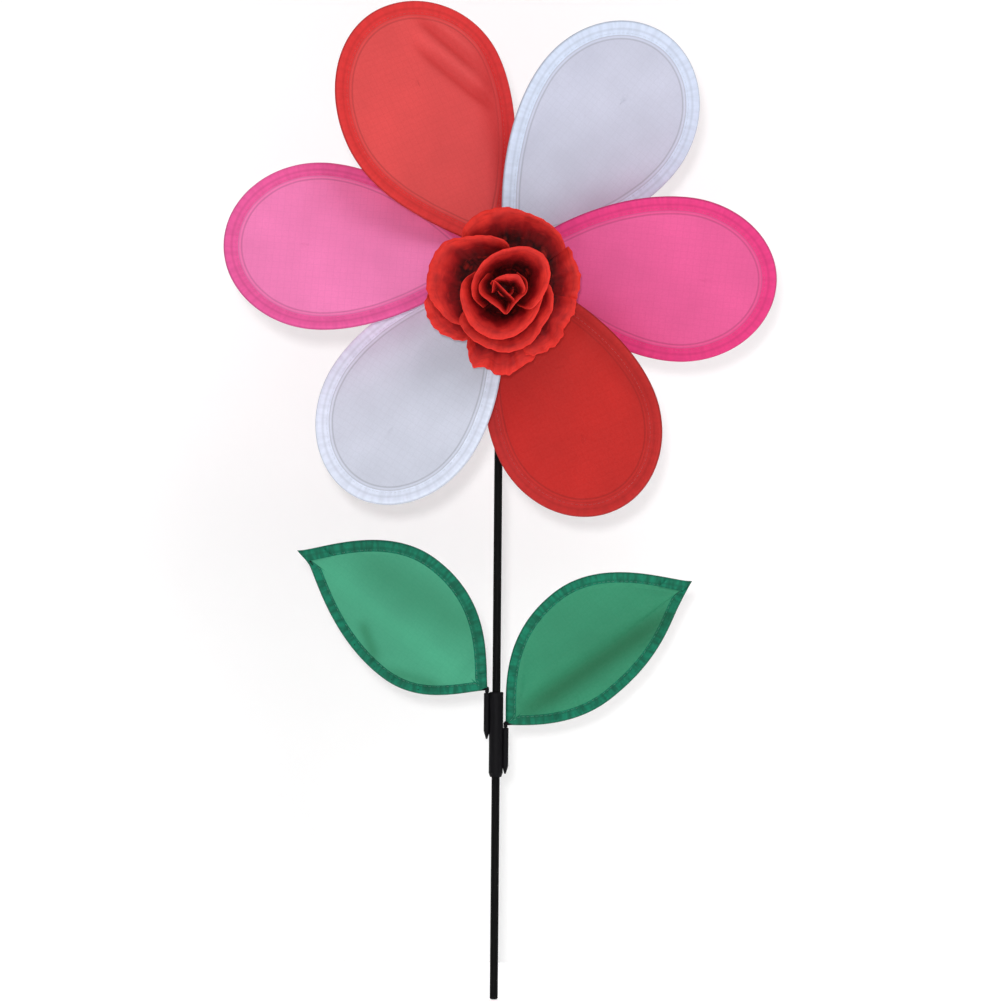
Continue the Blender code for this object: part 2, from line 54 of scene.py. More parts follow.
# Flower, as built in the CAD
HUB = Vector(joints["flower_spin"]["pos_m"])
PETAL_TURNS = (-5.5, 52.7, 115.5, 176.4, 238, 295.3)
PETAL_PITCH = 20
# How each petal is stretched on its wire: its reach, then on each side where it is widest and how wide
PETAL_FITS = (
    (202, (131, 60.8), (131, 64.3)),
    (203, (131, 65.8), (131, 65.8)),
    (202, (119, 70.0), (137, 66.6)),
    (201.5, (131, 65.8), (131, 66.3)),
    (203, (131, 63.6), (131, 65.8)),
    (201.5, (131, 64.3), (131, 65.8)),
)
PETAL_START = (18.07, 9.55)
PETAL_START_TURN = 44
ROSE_OFFSET = Vector((2.2, -22, 25)) * MM
ROSE_TILT = 5
ROSE_HEART = (2, -4)
CALYX_TOP = 6
SILK = 0.4  # thickness of a rose petal
PETAL_GRID = (64, 22)  # cells of a rose petal: along its rim, and up from the heart

# Leaves: each one's chord rises to the tip, and the turns are in degrees from the chord
LEAF_LENGTH = 169.5
LEAF_RISE = {"left": 35.9, "right": 38.2}
# Knots of the lower edge below the tip and at the belly, and how far the corner at the stem is cut back
LEAF_SHOULDER = {"left": (156, -4.2, -149), "right": (150, -9.6, -153)}
LEAF_BELLY = {"left": (64, -38.2), "right": (70, -32)}
LEAF_HEEL = {"left": (-1.5, 1.6), "right": (-1.2, 1.6)}
LEAF_CORNER = Vector((2, 0, 3.4)) * MM
LEAF_ARM = 9
LEAF_ARM_TURN = {"upper": 28, "lower": -23}
WIRE_R = 1.0
BORE_DEPTH = 7  # how far a petal's wire goes into the hub
WIRE_CLEAR = {"base": 19, "tip": 8}  # lengths of a leaf's edge that its wire cuts across
LEAF_BREEZE = {"left": 1, "right": -1}  # which way the slack of each has settled
LEAF_BILLOW = {"left": -2.5, "right": 1.5}
LEAF_POUCH = 1.8  # half the depth of the base, which holds the stem's ball
TIP_LENGTH = 19  # how much of the upper hem laps over the lower one at the tip, and how slanted its end is
TIP_SLANT = 0.75
BASE_LENGTH = 12

# Folds of the sails that have them: from, to, breadth, depth, and the painted shade on them (below 0,
# painted light)
# Where the depth is 0 there is no fold in the cloth, only the painted shade or light.
FOLDS = {
    1: (((60, 38), (180, 40), 12, 0, 0.1),),
    2: (
        ((187, -22), (134, -48), 4.5, 3.0, 0.5),
        ((166, -13), (104, -45), 4.5, 3.2, 0.5),
        ((178, -12), (118, -46), 4.5, 0, -0.1),
        ((150, -57), (30, -25), 9, 0, 0.6),
    ),
    5: (((50, 34), (150, 60), 10, 0, 0.4),),
    "left": (
        ((102, -14), (76, -31), 4.5, 1.6, 0.6),
        ((66, -32), (26, -18), 4.5, 1.0, 0.45),
        ((135, 22), (20, 30), 15, 0, 0.36),
        ((158, 2), (8, -4), 9, 0, -0.14),
    ),
    "right": (
        ((6, -1), (150, -10), 9.5, 2.6, 0.8),
        ((150, 4), (40, 14), 12, 0, 0.1),
    ),
}

# Hem round every sail, in mm
PETAL_HEM = 10.3
LEAF_HEM = {"left": (8.6, 7.0), "right": (7.6, 7.4)}  # upper and lower side
WIRE_INSET = 2.2
WIRE_BULGE = 1.45
CLOTH = 0.22
STITCH_LENGTH = 2.5
STITCH_PITCH = 3.4
THREAD = 0.2

# Sheets: cells of the simulated cloth, and how much finer the finished one is
PETAL_CELLS = (96, 13)
LEAF_CELLS = (88, 12)
FINER = (4, 2)
ROW_CROWDING = 1.35
SIM_FRAMES = 30
BREEZE = 6


# Curves


def heading(turn):
    return np.array((cos(radians(turn)), sin(radians(turn))))


def curve(knots):
    """Dense points of a flat curve. Its knots are (x, y, degrees of travel, reach before, reach after)."""
    points = []
    for (x0, y0, turn0, _, reach0), (x1, y1, turn1, reach1, _) in zip(knots, knots[1:]):
        a = np.array((x0, y0))
        d = np.array((x1, y1))
        b = a + reach0 * heading(turn0)
        c = d - reach1 * heading(turn1)
        count = max(8, int(np.linalg.norm(d - a) * 2))
        t = np.linspace(0, 1, count, endpoint=False)[:, None]
        points.append((1 - t) ** 3 * a + 3 * (1 - t) ** 2 * t * b + 3 * (1 - t) * t * t * c + t**3 * d)
    points.append(np.array([[knots[-1][0], knots[-1][1]]]))
    return np.concatenate(points)


def lengths_along(points):
    steps = np.linalg.norm(np.diff(points, axis=0), axis=1)
    return np.concatenate([[0], np.cumsum(steps)])


def resampled(points, count):
    """The same line as count + 1 evenly spaced points."""
    length = lengths_along(points)
    at = np.linspace(0, length[-1], count + 1)
    return np.stack([np.interp(at, length, column) for column in points.T], axis=1)


def unit(vectors):
    return vectors / np.linalg.norm(vectors, axis=-1, keepdims=True)


def inward_normals(points):
    """Unit normals to the right of travel, which is inside a rim that runs clockwise."""
    along = unit(np.gradient(points, axis=0))
    return np.stack([along[:, 1], -along[:, 0]], axis=1)


def catmull_rom(values, at):
    """Smooth values between those of the first axis. at counts its steps."""
    low = np.minimum(at.astype(int), len(values) - 2)
    t = (at - low).reshape((-1,) + (1,) * (values.ndim - 1))
    ends = np.concatenate([2 * values[:1] - values[1:2], values, 2 * values[-1:] - values[-2:-1]])
    p0, p1, p2, p3 = (ends[low + k] for k in range(4))
    bend = 2 * p0 - 5 * p1 + 4 * p2 - p3
    twist = 3 * (p1 - p2) + p3 - p0
    return p1 + 0.5 * t * (p2 - p0 + t * (bend + t * twist))


def through(knots, count):
    """A smooth line of count + 1 places through the knots."""
    return catmull_rom(np.array(knots, float), np.linspace(0, len(knots) - 1, count + 1))


def smooth_step(values, low, high):
    t = np.clip((values - low) / (high - low), 0, 1)
    return t * t * (3 - 2 * t)


def petal_outline(fit):
    """The petal cloth's fold: the wire's line moved out, from the leading root to the tip and back."""
    x, y = PETAL_START
    reach, (widest, half_width), (other_widest, other_half_width) = fit
    tip = reach - WIRE_INSET
    wide, other_wide = half_width - WIRE_INSET, other_half_width - WIRE_INSET
    line = curve(
        [
            (x, y, PETAL_START_TURN, 0, 40),
            (widest, wide, 0, 40, 0.55 * (tip - widest)),
            (tip, 0, -90, 0.55 * wide, 0.55 * other_wide),
            (other_widest, -other_wide, 180, 0.55 * (tip - other_widest), 40),
            (x, -y, 180 - PETAL_START_TURN, 40, 0),
        ]
    )
    edge = line - WIRE_INSET * inward_normals(line)
    half = int(np.argmax(edge[:, 0]))
    return edge[: half + 1], edge[half:]


def leaf_outline(side):
    """The leaf cloth's fold, upper side to the tip and lower side back, with the chord along +X."""
    tip = LEAF_LENGTH + 1.5
    heel, blunt = LEAF_HEEL[side]
    upper = curve([(heel, blunt, 50, 0, 22), (86, 55.4, 0, 52, 46), (tip, 0, -31, 12, 0)])
    shoulder = (*LEAF_SHOULDER[side], 5, 15)
    belly = (*LEAF_BELLY[side], 180, 44, 34)
    lower = curve([(tip, 0, -160, 0, 4), shoulder, belly, (heel, -0.8, 141, 16, 0)])
    return upper, lower


# Sheets


class Sheet:
    """A flat sail in mm. Its stations run round the fold, and each has a way inward and a hem width."""

    def __init__(self, outline, cells, hem, finer=(1, 1)):
        self.around = cells[0] * finer[0]
        self.rows = cells[1] * finer[1]
        self.half = self.around // 2
        self.hem = np.where(np.arange(self.around + 1) > self.half, hem[1], hem[0])
        sides = [resampled(side, self.half) for side in outline]
        normals = [inward_normals(resampled(side, 8 * self.half))[::8] for side in outline]
        self.edge = np.concatenate([sides[0], sides[1][1:]])
        self.inward = np.concatenate([normals[0], normals[1][1:]])
        self.inward[self.half] = (-1, 0)
        depth = np.abs(self.edge[:, 1]) / np.maximum(np.abs(self.inward[:, 1]), 1e-6)
        hit = self.edge[:, 0] + self.inward[:, 0] * depth
        hit[self.half] = 0.5 * (hit[self.half - 1] + hit[self.half + 1])
        depth[self.half] = self.edge[self.half, 0] - hit[self.half]
        middle = 0.5 * (hit + hit[::-1])
        self.middle = np.stack([middle, np.zeros_like(middle)], axis=1)
        self.width = np.minimum(self.hem, 0.94 * depth)
        self.depth = depth
        self.along = lengths_along(self.edge)

    def panel(self):
        """Flat points from the hem's inner edge to the middle line, whose last row the two sides share."""
        share = np.linspace(0, 1, self.rows + 1)[None, :, None] ** ROW_CROWDING
        start = (self.edge + self.inward * self.width[:, None])[:, None, :]
        return start + (self.middle[:, None, :] - start) * share


def shared_index(around, rows, start):
    """The vertex numbers of a grid whose last row is shared by station i and station around - i."""
    index = np.zeros((around + 1, rows + 1), int)
    index[:, :rows] = start + np.arange((around + 1) * rows).reshape(around + 1, rows)
    places = np.arange(around + 1)
    index[:, rows] = start + (around + 1) * rows + np.minimum(places, around - places)
    return index


def shared_points(grid):
    """The grid's points in the order of shared_index."""
    half = (len(grid) - 1) // 2
    return np.concatenate([grid[:, :-1].reshape(-1, grid.shape[-1]), grid[: half + 1, -1]])


def quads(index):
    corners = (index[:-1, :-1], index[:-1, 1:], index[1:, 1:], index[1:, :-1])
    return np.stack(corners, axis=-1).reshape(-1, 4)


def finer_along(values, factor, axis):
    """Smooth values between the old ones, factor times as many."""
    values = np.moveaxis(values, axis, 0)
    at = np.arange((len(values) - 1) * factor + 1) / factor
    return np.moveaxis(catmull_rom(values, at), 0, axis)


def finer_shift(shift):
    """The cloth's shifts on the finished sheet, smooth across the middle line."""
    rows = shift.shape[1] - 1
    whole = np.concatenate([shift, shift[::-1, -2::-1]], axis=1)
    whole = finer_along(finer_along(whole, FINER[0], 0), FINER[1], 1)
    return whole[:, : rows * FINER[1] + 1]


def turned(degrees, axis):
    return Matrix.Rotation(radians(degrees), 4, axis)


def petal_place(number):
    spoke = turned(90, "X") @ turned(PETAL_TURNS[number], "Z") @ turned(PETAL_PITCH, "X")
    return Matrix.Translation(HUB) @ spoke


def leaf_place(side):
    mouth = Matrix.Translation(joints[f"{side}_leaf_turn"]["pos_m"])
    facing = turned(0 if side == "right" else 180, "Z")
    stand = turned(90, "X") @ turned(LEAF_RISE[side], "Z")
    return mouth @ facing @ Matrix.Translation(LEAF_CORNER) @ stand


def to_world(place, points):
    """Points in mm in a sail's own frame, to world metres."""
    matrix = np.array(place)
    return (points * MM) @ matrix[:3, :3].T + matrix[:3, 3]


def to_local(place, points):
    matrix = np.array(place.inverted())
    return (points @ matrix[:3, :3].T + matrix[:3, 3]) / MM


def with_height(flat, height=0.0):
    return np.concatenate([flat, np.broadcast_to(height, flat.shape[:-1])[..., None]], axis=-1)


# Cloth simulation


def slack_shape(flat, seed):
    """What the panel would measure if it lay free: unevenly a little bigger than its frame."""
    phase = np.random.default_rng(seed).uniform(0, 2 * pi, 4)
    x, y = flat[..., 0], flat[..., 1]
    across = 0.004 + 0.002 * np.sin(x / 31 + phase[0]) + 0.0015 * np.sin(x / 13 + y / 40 + phase[1])
    along = 0.001 + 0.0015 * np.sin(y / 23 + phase[2]) + 0.001 * np.sin(x / 37 + phase[3])
    return np.stack([x * (1 + along), y * (1 + across)], axis=-1)


def add_cloth(points, free_points, faces, hemmed):
    """The panels as one cloth, held at its hems, that would measure free_points if it lay free."""
    mesh = bpy.data.meshes.new("panels")
    mesh.from_pydata(points.tolist(), [], faces)
    cloth = add_object("panels", mesh)
    cloth.shape_key_add(name="Basis")
    key = cloth.shape_key_add(name="free")
    key.data.foreach_set("co", free_points.astype(np.float32).ravel())
    cloth.vertex_groups.new(name="hem").add(hemmed, 1.0, "REPLACE")
    modifier = cloth.modifiers.new("cloth", "CLOTH")
    modifier.collision_settings.use_collision = False
    modifier.point_cache.frame_end = SIM_FRAMES
    settings = modifier.settings
    settings.quality = 7
    settings.mass = 0.02
    settings.tension_stiffness = 30
    settings.compression_stiffness = 20
    settings.shear_stiffness = 12
    settings.bending_stiffness = 0.04
    settings.air_damping = 2
    settings.vertex_group_mass = "hem"
    settings.rest_shape_key = key
    return cloth


def add_breeze():
    """A light wind towards the flower's back."""
    breeze = add_object("breeze", None)
    breeze.location = (0, -1, 0.6)
    breeze.rotation_euler = (-pi / 2, 0, 0)
    bpy.context.view_layer.objects.active = breeze
    bpy.ops.object.forcefield_toggle()
    breeze.field.type = "WIND"
    breeze.field.strength = BREEZE
    return breeze


def simulate(sails):
    """Hangs every panel slack inside its hem, in gravity and a light breeze, and gives its shifts in mm."""
    rest, free, faces, hemmed, indices = [], [], [], [], []
    for seed, (sheet, place) in enumerate(sails):
        flat = sheet.panel()
        start = sum(map(len, rest))
        ripple = 0.15 * np.sin(flat[..., 0] / 9 + seed) * np.sin(flat[..., 1] / 11)
        rest.append(to_world(place, shared_points(with_height(flat, ripple))))
        free.append(to_world(place, shared_points(with_height(slack_shape(flat, seed)))))
        index = shared_index(sheet.around, sheet.rows, start)
        faces += quads(index).tolist()
        hemmed += index[:, 0].tolist()
        indices.append(index)
    cloth = add_cloth(np.concatenate(rest), np.concatenate(free), faces, hemmed)
    breeze = add_breeze()
    scene = bpy.context.scene
    for step in range(1, SIM_FRAMES + 1):
        scene.frame_set(step)
    settled = cloth.evaluated_get(bpy.context.evaluated_depsgraph_get()).to_mesh()
    points = np.zeros(len(settled.vertices) * 3)
    settled.vertices.foreach_get("co", points)
    points = points.reshape(-1, 3)
    scene.frame_set(1)
    bpy.data.objects.remove(breeze)
    bpy.data.objects.remove(cloth)
    shifts = []
    for index, (sheet, place) in zip(indices, sails):
        shifts.append(to_local(place, points[index]) - with_height(sheet.panel()))
    return shifts


# Sails

# Depth from the fold as a share of the hem, and height as a share of the wire's bulge
BACK_ROWS = (
    (1.0, -0.30), (0.94, -0.34), (0.86, -0.22), (0.78, -0.34), (0.62, -0.42), (0.46, -0.60),
    (0.32, -0.90), (0.20, -1.0), (0.09, -0.86), (0.025, -0.50),
)
FRONT_ROWS = (
    (0.0, 0.0), (0.025, 0.50), (0.09, 0.86), (0.20, 1.0), (0.32, 0.90), (0.46, 0.60),
    (0.62, 0.38), (0.78, 0.30), (0.86, 0.10), (0.93, 0.22),
)


def waves(along, seed, lengths):
    """An uneven ripple along the hem, between -1 and 1."""
    local = np.random.default_rng(seed)
    total = np.zeros_like(along)
    for length in lengths:
        wander = 0.6 * np.sin(along / (7 * length) + local.uniform(0, 2 * pi))
        total += np.sin(2 * pi * along / length + local.uniform(0, 2 * pi) + 2 * wander)
    return total / len(lengths) ** 0.5 / 1.4


def add_object(name, data):
    made = bpy.data.objects.new(name, data)
    bpy.context.scene.collection.objects.link(made)
    return made


def mesh_object(name, points, faces, uvs=None, slots=None, materials=()):
    """A smooth mesh. uvs gives each layer's place for every point, and slots gives each face's material."""
    mesh = bpy.data.meshes.new(name)
    mesh.from_pydata(points.tolist(), [], [tuple(face) for face in faces])
    mesh.polygons.foreach_set("use_smooth", np.ones(len(mesh.polygons), bool))
    corners = np.zeros(len(mesh.loops), int)
    mesh.loops.foreach_get("vertex_index", corners)
    for layer, places in (uvs or {}).items():
        made = mesh.uv_layers.new(name=layer)
        made.data.foreach_set("uv", places[corners].astype(np.float32).ravel())
    for material in materials:
        mesh.materials.append(material)
    if slots is not None:
        mesh.polygons.foreach_set("material_index", slots)
    mesh.update()
    return add_object(name, mesh)


def thicken(made, thickness):
    solid = made.modifiers.new("thickness", "SOLIDIFY")
    solid.thickness = thickness * MM
    solid.offset = 0
    return made


class Sail:
    """One finished sail: its sheet, the grid of its points in mm, and where the stitches run."""

    def __init__(self, sheet, shift, pucker, seed, front=1, pouch=0.0, folds=(), billow=0.0):
        self.sheet = sheet
        self.front = front
        self.folds = folds
        self.full = sheet.width / sheet.hem
        self.lift = WIRE_BULGE + 0.5 * (1 - self.full)
        self.inside = np.linalg.norm(sheet.panel() - sheet.edge[:, None, :], axis=-1) - sheet.width[:, None]
        ripple = waves(sheet.along, seed, (4.3, 5.6, 7.4)) * pucker
        sag = waves(sheet.along, seed + 50, (23, 41)) * 0.25
        hem, depth = self.hem_grid(ripple)
        panel = self.panel_grid(shift, ripple, sag, billow)
        self.hem_columns = depth.shape[1]
        self.grid = np.concatenate([hem, panel], axis=1)
        from_fold = np.concatenate([depth, sheet.width[:, None] + self.inside], axis=1)
        if pouch:
            self.open_base(pouch, from_fold)
        self.grid[..., 2] *= front
        self.signed = from_fold * self.which_side()

    def which_side(self):
        """-1 for the columns on the back of the hem, and 1 for the others."""
        side = np.ones(self.grid.shape[1])
        side[: len(BACK_ROWS)] = -1
        return side[None, :]

    def hem_grid(self, ripple):
        """The hem round its wire, and how far each place is from the fold."""
        sheet = self.sheet
        columns = []
        for share, height in BACK_ROWS:
            gather = 0.5 * ripple * np.sin(pi * share**0.7)
            columns.append((share * sheet.width, height * self.lift - 0.1 + gather))
        for share, height in FRONT_ROWS:
            gather = ripple * np.sin(pi * min(share, 0.98) ** 1.2 / 1.25)
            columns.append((share * sheet.width, height * self.lift + gather))
        depth = np.stack([d for d, _ in columns], axis=1)
        rise = np.stack([z for _, z in columns], axis=1)
        flat = sheet.edge[:, None, :] + sheet.inward[:, None, :] * depth[..., None]
        return with_height(flat, rise), depth

    def panel_grid(self, shift, ripple, sag, billow):
        """The settled panel, with its folds, and with the pull of the seam along its edge."""
        sheet, inside, lift = self.sheet, self.inside, self.lift[:, None]
        panel = with_height(sheet.panel()) + shift * (1, 1, self.front)
        share = np.linspace(0, 1, sheet.rows + 1)[None, :] ** ROW_CROWDING
        panel[..., 2] += billow * (1 - (1 - share) ** 2) * np.minimum(1, sheet.depth / 30)[:, None]
        fade = np.exp(-inside / 5)
        panel[..., 2] += 0.45 * ripple[:, None] * fade + sag[:, None] * np.exp(-inside / 14)
        panel[..., 2] += 0.14 * lift * np.exp(-inside / 2)
        panel[..., 2] -= 0.16 * np.exp(-(((inside - 3.2) / 0.9) ** 2)) * self.full[:, None]
        panel[:, -1] = 0.5 * (panel[:, -1] + panel[::-1, -1])
        for start, end, breadth, deep, _ in self.folds:
            panel[..., 2] -= deep * fold_at(panel[..., :2], start, end, breadth) * smooth_step(inside, 0, 9)
        return panel

    def open_base(self, pouch, from_fold):
        """Opens the base of a leaf round its stem's ball, no thicker than the connector beside it allows."""
        edge = self.sheet.edge
        near = smooth_step(-self.grid[..., 0], -26, -11)
        base = np.concatenate([np.linspace(edge[0], edge[-1], 7), edge[edge[:, 0] < 12]])
        from_base = np.linalg.norm(self.grid[..., None, :2] - base, axis=-1).min(axis=-1)
        ramp = smooth_step(np.minimum(from_fold, from_base), 0, 1.6)
        side = self.which_side()
        height = self.grid[..., 2]
        swell = side * pouch * ramp * near
        height = np.where(side > 0, np.maximum(height, swell), np.minimum(height, swell))
        room = pouch * ramp + 0.4 * smooth_step(from_base, 1.6, 5) + 9 * (1 - near)
        self.grid[..., 2] = np.clip(height, -room, room)

    def build(self, name, place, materials):
        """The sail as a mesh, with the weave's and the hem's own maps, in tenths of a metre."""
        index = shared_index(self.sheet.around, self.grid.shape[1] - 1, 0)
        faces = quads(index)
        cells = np.zeros(index[:-1, :-1].shape, int)
        cells[:, : self.hem_columns] = 1
        cells[self.sheet.width[1:] < 0.98 * self.sheet.hem[1:]] = 1
        if self.front < 0:
            faces = faces[:, ::-1]
        along = np.broadcast_to(self.sheet.along[:, None], self.signed.shape)
        hem_map = np.stack([along, self.signed], axis=-1) / 100
        # The folds map: 0.5 where plain, higher for painted shade along a fold, lower for painted light.
        slack = np.full(self.signed.shape, 0.5)
        for start, end, breadth, _, shade in self.folds:
            slack += 0.5 * shade * fold_at(self.grid[..., :2], start, end, breadth, 0)
        folds = np.stack([np.clip(slack, 0, 1), 0 * slack], axis=-1)
        weave = self.grid[..., :2] / 100 + 3
        uvs = {"weave": shared_points(weave), "hem": shared_points(hem_map), "folds": shared_points(folds)}
        points = to_world(place, shared_points(self.grid))
        made = mesh_object(name, points, faces, uvs, cells.ravel(), materials)
        return thicken(made, CLOTH)

    def stitches(self, name, place, material):
        """Short threads in and out of the cloth along the hem, on both faces."""
        points, faces = [], []
        for column, side in ((2, -1), (self.hem_columns - 2, 1)):
            line = self.grid[:, column]
            length = lengths_along(line)
            wide = self.sheet.width > 0.6 * self.sheet.hem
            for at in np.arange(2.0, length[-1] - 2, STITCH_PITCH):
                ends = []
                for spot in (at, at + STITCH_LENGTH):
                    ends.append(np.array([np.interp(spot, length, line[:, k]) for k in range(3)]))
                if not wide[np.searchsorted(length, at)]:
                    continue
                out = np.array((0, 0, side * self.front * (CLOTH / 2 + 0.05)))
                add_thread(points, faces, ends[0] + out, ends[1] + out, THREAD)
        return mesh_object(name, to_world(place, np.array(points)), faces, materials=[material])


def assign(made, body, stands_for=None):
    """Tells the frame which body a piece rides on, and the node it stands for."""
    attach(made, body)
    if stands_for:
        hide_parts(stands_for)


def fold_at(points, start, end, breadth, ridge=0.5):
    """A soft fold along a line, 1 in its valley, with a low ridge beside it. It fades at both ends."""
    a, b = np.array(start), np.array(end)
    ahead = unit(b - a)
    from_a = points - a
    along = (from_a @ ahead) / np.linalg.norm(b - a)
    across = from_a @ np.array((-ahead[1], ahead[0]))
    valley = np.exp(-((across / breadth) ** 2))
    beside = np.exp(-(((across - 1.7 * breadth) / breadth) ** 2))
    return (valley - ridge * beside) * smooth_step(along, -0.15, 0.25) * smooth_step(-along, -1.15, -0.75)


def tube_faces(rings, sides, first=0):
    """The faces of a tube whose points lie in rings, with both ends closed."""
    last = first + (rings - 1) * sides
    faces = []
    for ring in range(first, last, sides):
        for k in range(sides):
            a, b = ring + k, ring + (k + 1) % sides
            faces.append((a, b, b + sides, a + sides))
    faces.append(tuple(first + k for k in reversed(range(sides))))
    faces.append(tuple(last + k for k in range(sides)))
    return faces


THREAD_ROUND = 6
THREAD_SHARES = ((0.0, 0.15), (0.06, 0.7), (0.2, 1.0), (0.8, 1.0), (0.94, 0.7), (1.0, 0.15))


def add_thread(points, faces, start, end, radius):
    """One stitch: a short round thread with sunken ends."""
    ahead = unit(end - start)
    side = unit(np.cross(ahead, (0, 0, 1.0)))
    up = np.cross(side, ahead)
    first = len(points)
    for share, size in THREAD_SHARES:
        for k in range(THREAD_ROUND):
            angle = 2 * pi * k / THREAD_ROUND
            ring = side * cos(angle) + up * sin(angle)
            points.append(start + (end - start) * share + (ring * size - up * (1 - size) * 0.8) * radius)
    faces += tube_faces(len(THREAD_SHARES), THREAD_ROUND, first)


# Materials

THREADS = 180  # waves of the weave in 100 mm, which is the unit of the cloth's UV maps
MOTTLE = 0.07  # how far the cloth's colour drifts to both sides


class Shader:
    """A new material's node tree, with short ways to add and join nodes."""

    def __init__(self, name, **inputs):
        self.material = bpy.data.materials.new(name)
        self.material.use_nodes = True
        self.nodes = self.material.node_tree.nodes
        self.links = self.material.node_tree.links
        self.surface = self.nodes["Principled BSDF"]
        for label, value in inputs.items():
            self.surface.inputs[label.replace("_", " ")].default_value = value

    def add(self, kind, settings=None, **inputs):
        """A node. settings are its own, and inputs, by name or as i0, i1 and on, are what feeds it."""
        made = self.nodes.new("ShaderNode" + kind)
        for label, value in (settings or {}).items():
            setattr(made, label, value)
        for label, value in inputs.items():
            key = int(label[1:]) if label[1:].isdigit() else label.replace("_", " ")
            self.feed(made.inputs[key], value)
        return made

    def feed(self, spot, value):
        if isinstance(value, bpy.types.NodeSocket):
            self.links.new(value, spot)
        else:
            spot.default_value = value

    def math(self, operation, a, b=0.0):
        return self.add("Math", {"operation": operation}, i0=a, i1=b).outputs[0]

    def map_range(self, value, low, high, to_low=0.0, to_high=1.0):
        return self.add("MapRange", i0=value, i1=low, i2=high, i3=to_low, i4=to_high).outputs[0]

    def noise(self, where, scale, detail):
        return self.add("TexNoise", Vector=where, Scale=scale, Detail=detail).outputs["Fac"]

    def uv(self, layer):
        return self.add("UVMap", {"uv_map": layer}).outputs[0]

    def split(self, value):
        return self.add("SeparateXYZ", i0=value).outputs

    def scaled(self, where, *scale):
        return self.add("Mapping", i0=where, Scale=scale).outputs[0]

    def sum_of(self, a, share_a, b, share_b):
        return self.math("ADD", self.math("MULTIPLY", a, share_a), self.math("MULTIPLY", b, share_b))

    def thread(self, place):
        """A fine wave across threads that lie side by side."""
        return self.math("SINE", self.math("MULTIPLY", place, 2 * pi * THREADS))

    def line(self, place, middle, near, far, strength):
        """A soft line about the middle, which fades from near to far."""
        off = self.math("ABSOLUTE", self.math("SUBTRACT", place, middle))
        return self.map_range(off, near, far, strength, 0.0)

    def mix(self, share, a, b):
        return self.add("Mix", {"data_type": "RGBA"}, i0=share, i6=a, i7=b).outputs[2]

    def toward(self, tone, other, value, low, high, to_low=0.0, to_high=1.0):
        """The tone, mixed with the other one as the value runs from low to high."""
        return self.mix(self.map_range(value, low, high, to_low, to_high), tone, other)

    def colour(self, value):
        self.feed(self.surface.inputs["Base Color"], value)

    def rough(self, value, low, high):
        """Roughness between low and high, over the middle of a noise's range."""
        self.feed(self.surface.inputs["Roughness"], self.map_range(value, 0.3, 0.7, low, high))

    def bump(self, height, distance, strength):
        made = self.add("Bump", Height=height, Distance=distance, Strength=strength)
        self.links.new(made.outputs[0], self.surface.inputs["Normal"])


def linear(red, green, blue):
    """A linear colour from a screen colour in 0 to 255."""
    parts = [c / 255 for c in (red, green, blue)]
    return tuple(c / 12.92 if c < 0.04 else ((c + 0.055) / 1.055) ** 2.4 for c in parts) + (1.0,)


def tinted(colour, factor):
    return tuple(min(1.0, c * factor) for c in colour[:3]) + (1.0,)


def shaded(shader, tone, base):
    """The cloth's colour with the painted shade of the folds map, deeper above 0.5, and painted light,
    lighter below it.
    """
    slack = shader.split(shader.uv("folds"))[0]
    folded = tuple(0.9 * c**1.5 for c in base[:3]) + (1.0,)
    tone = shader.toward(tone, folded, slack, 0.5, 1.0)
    return shader.toward(tone, tinted(base, 1.7), slack, 0.5, 0.0)


def ripstop(name, base, deep, hem, hem_width):
    """Light nylon cloth: a fine weave, a heavier thread every 5 mm both ways, and soft uneven colour.

    With a hem width, the turned-in edge of that hem shows through as a band between two thin lines.
    """
    shader = Shader(name, Roughness=0.5, Sheen_Weight=0.08, Sheen_Roughness=0.4, Specular_IOR_Level=0.28)
    where = shader.uv("weave")
    threads = []
    heavy = []
    for place in shader.split(where)[:2]:
        threads.append(shader.thread(place))
        beat = shader.math("PINGPONG", place, 0.025)
        heavy.append(shader.map_range(beat, 0.0008, 0.0025, 1.0, 0.0))
    weave = shader.math("MULTIPLY", threads[0], threads[1])
    grid = shader.math("MAXIMUM", heavy[0], heavy[1])
    cloudy = shader.noise(where, 2.2, 4.0)
    grain = shader.noise(where, 60.0, 2.0)
    tone = shader.toward(tinted(base, 1 - MOTTLE), tinted(base, 1 + MOTTLE), cloudy, 0.3, 0.7)
    tone = shader.mix(shader.math("MULTIPLY", grid, 0.25), tone, deep)
    tone = shader.toward(tone, deep, grain, 0.35, 0.75, 0.0, 0.18)
    if hem_width:
        past_hem = shader.math("SUBTRACT", shader.split(shader.uv("hem"))[1], hem_width / 100)
        tone = shader.toward(tone, hem, past_hem, 0.024, 0.03, 0.25, 0.0)
        for seam, strength in ((0.002, 0.45), (0.027, 0.6)):
            tone = shader.mix(shader.line(past_hem, seam, 0.002, 0.009, strength), tone, tinted(deep, 0.7))
    shader.colour(shaded(shader, tone, base))
    shader.rough(grain, 0.52, 0.7)
    shader.bump(shader.sum_of(weave, 0.25, grid, 1.0), 0.00006, 0.6)
    return shader.material


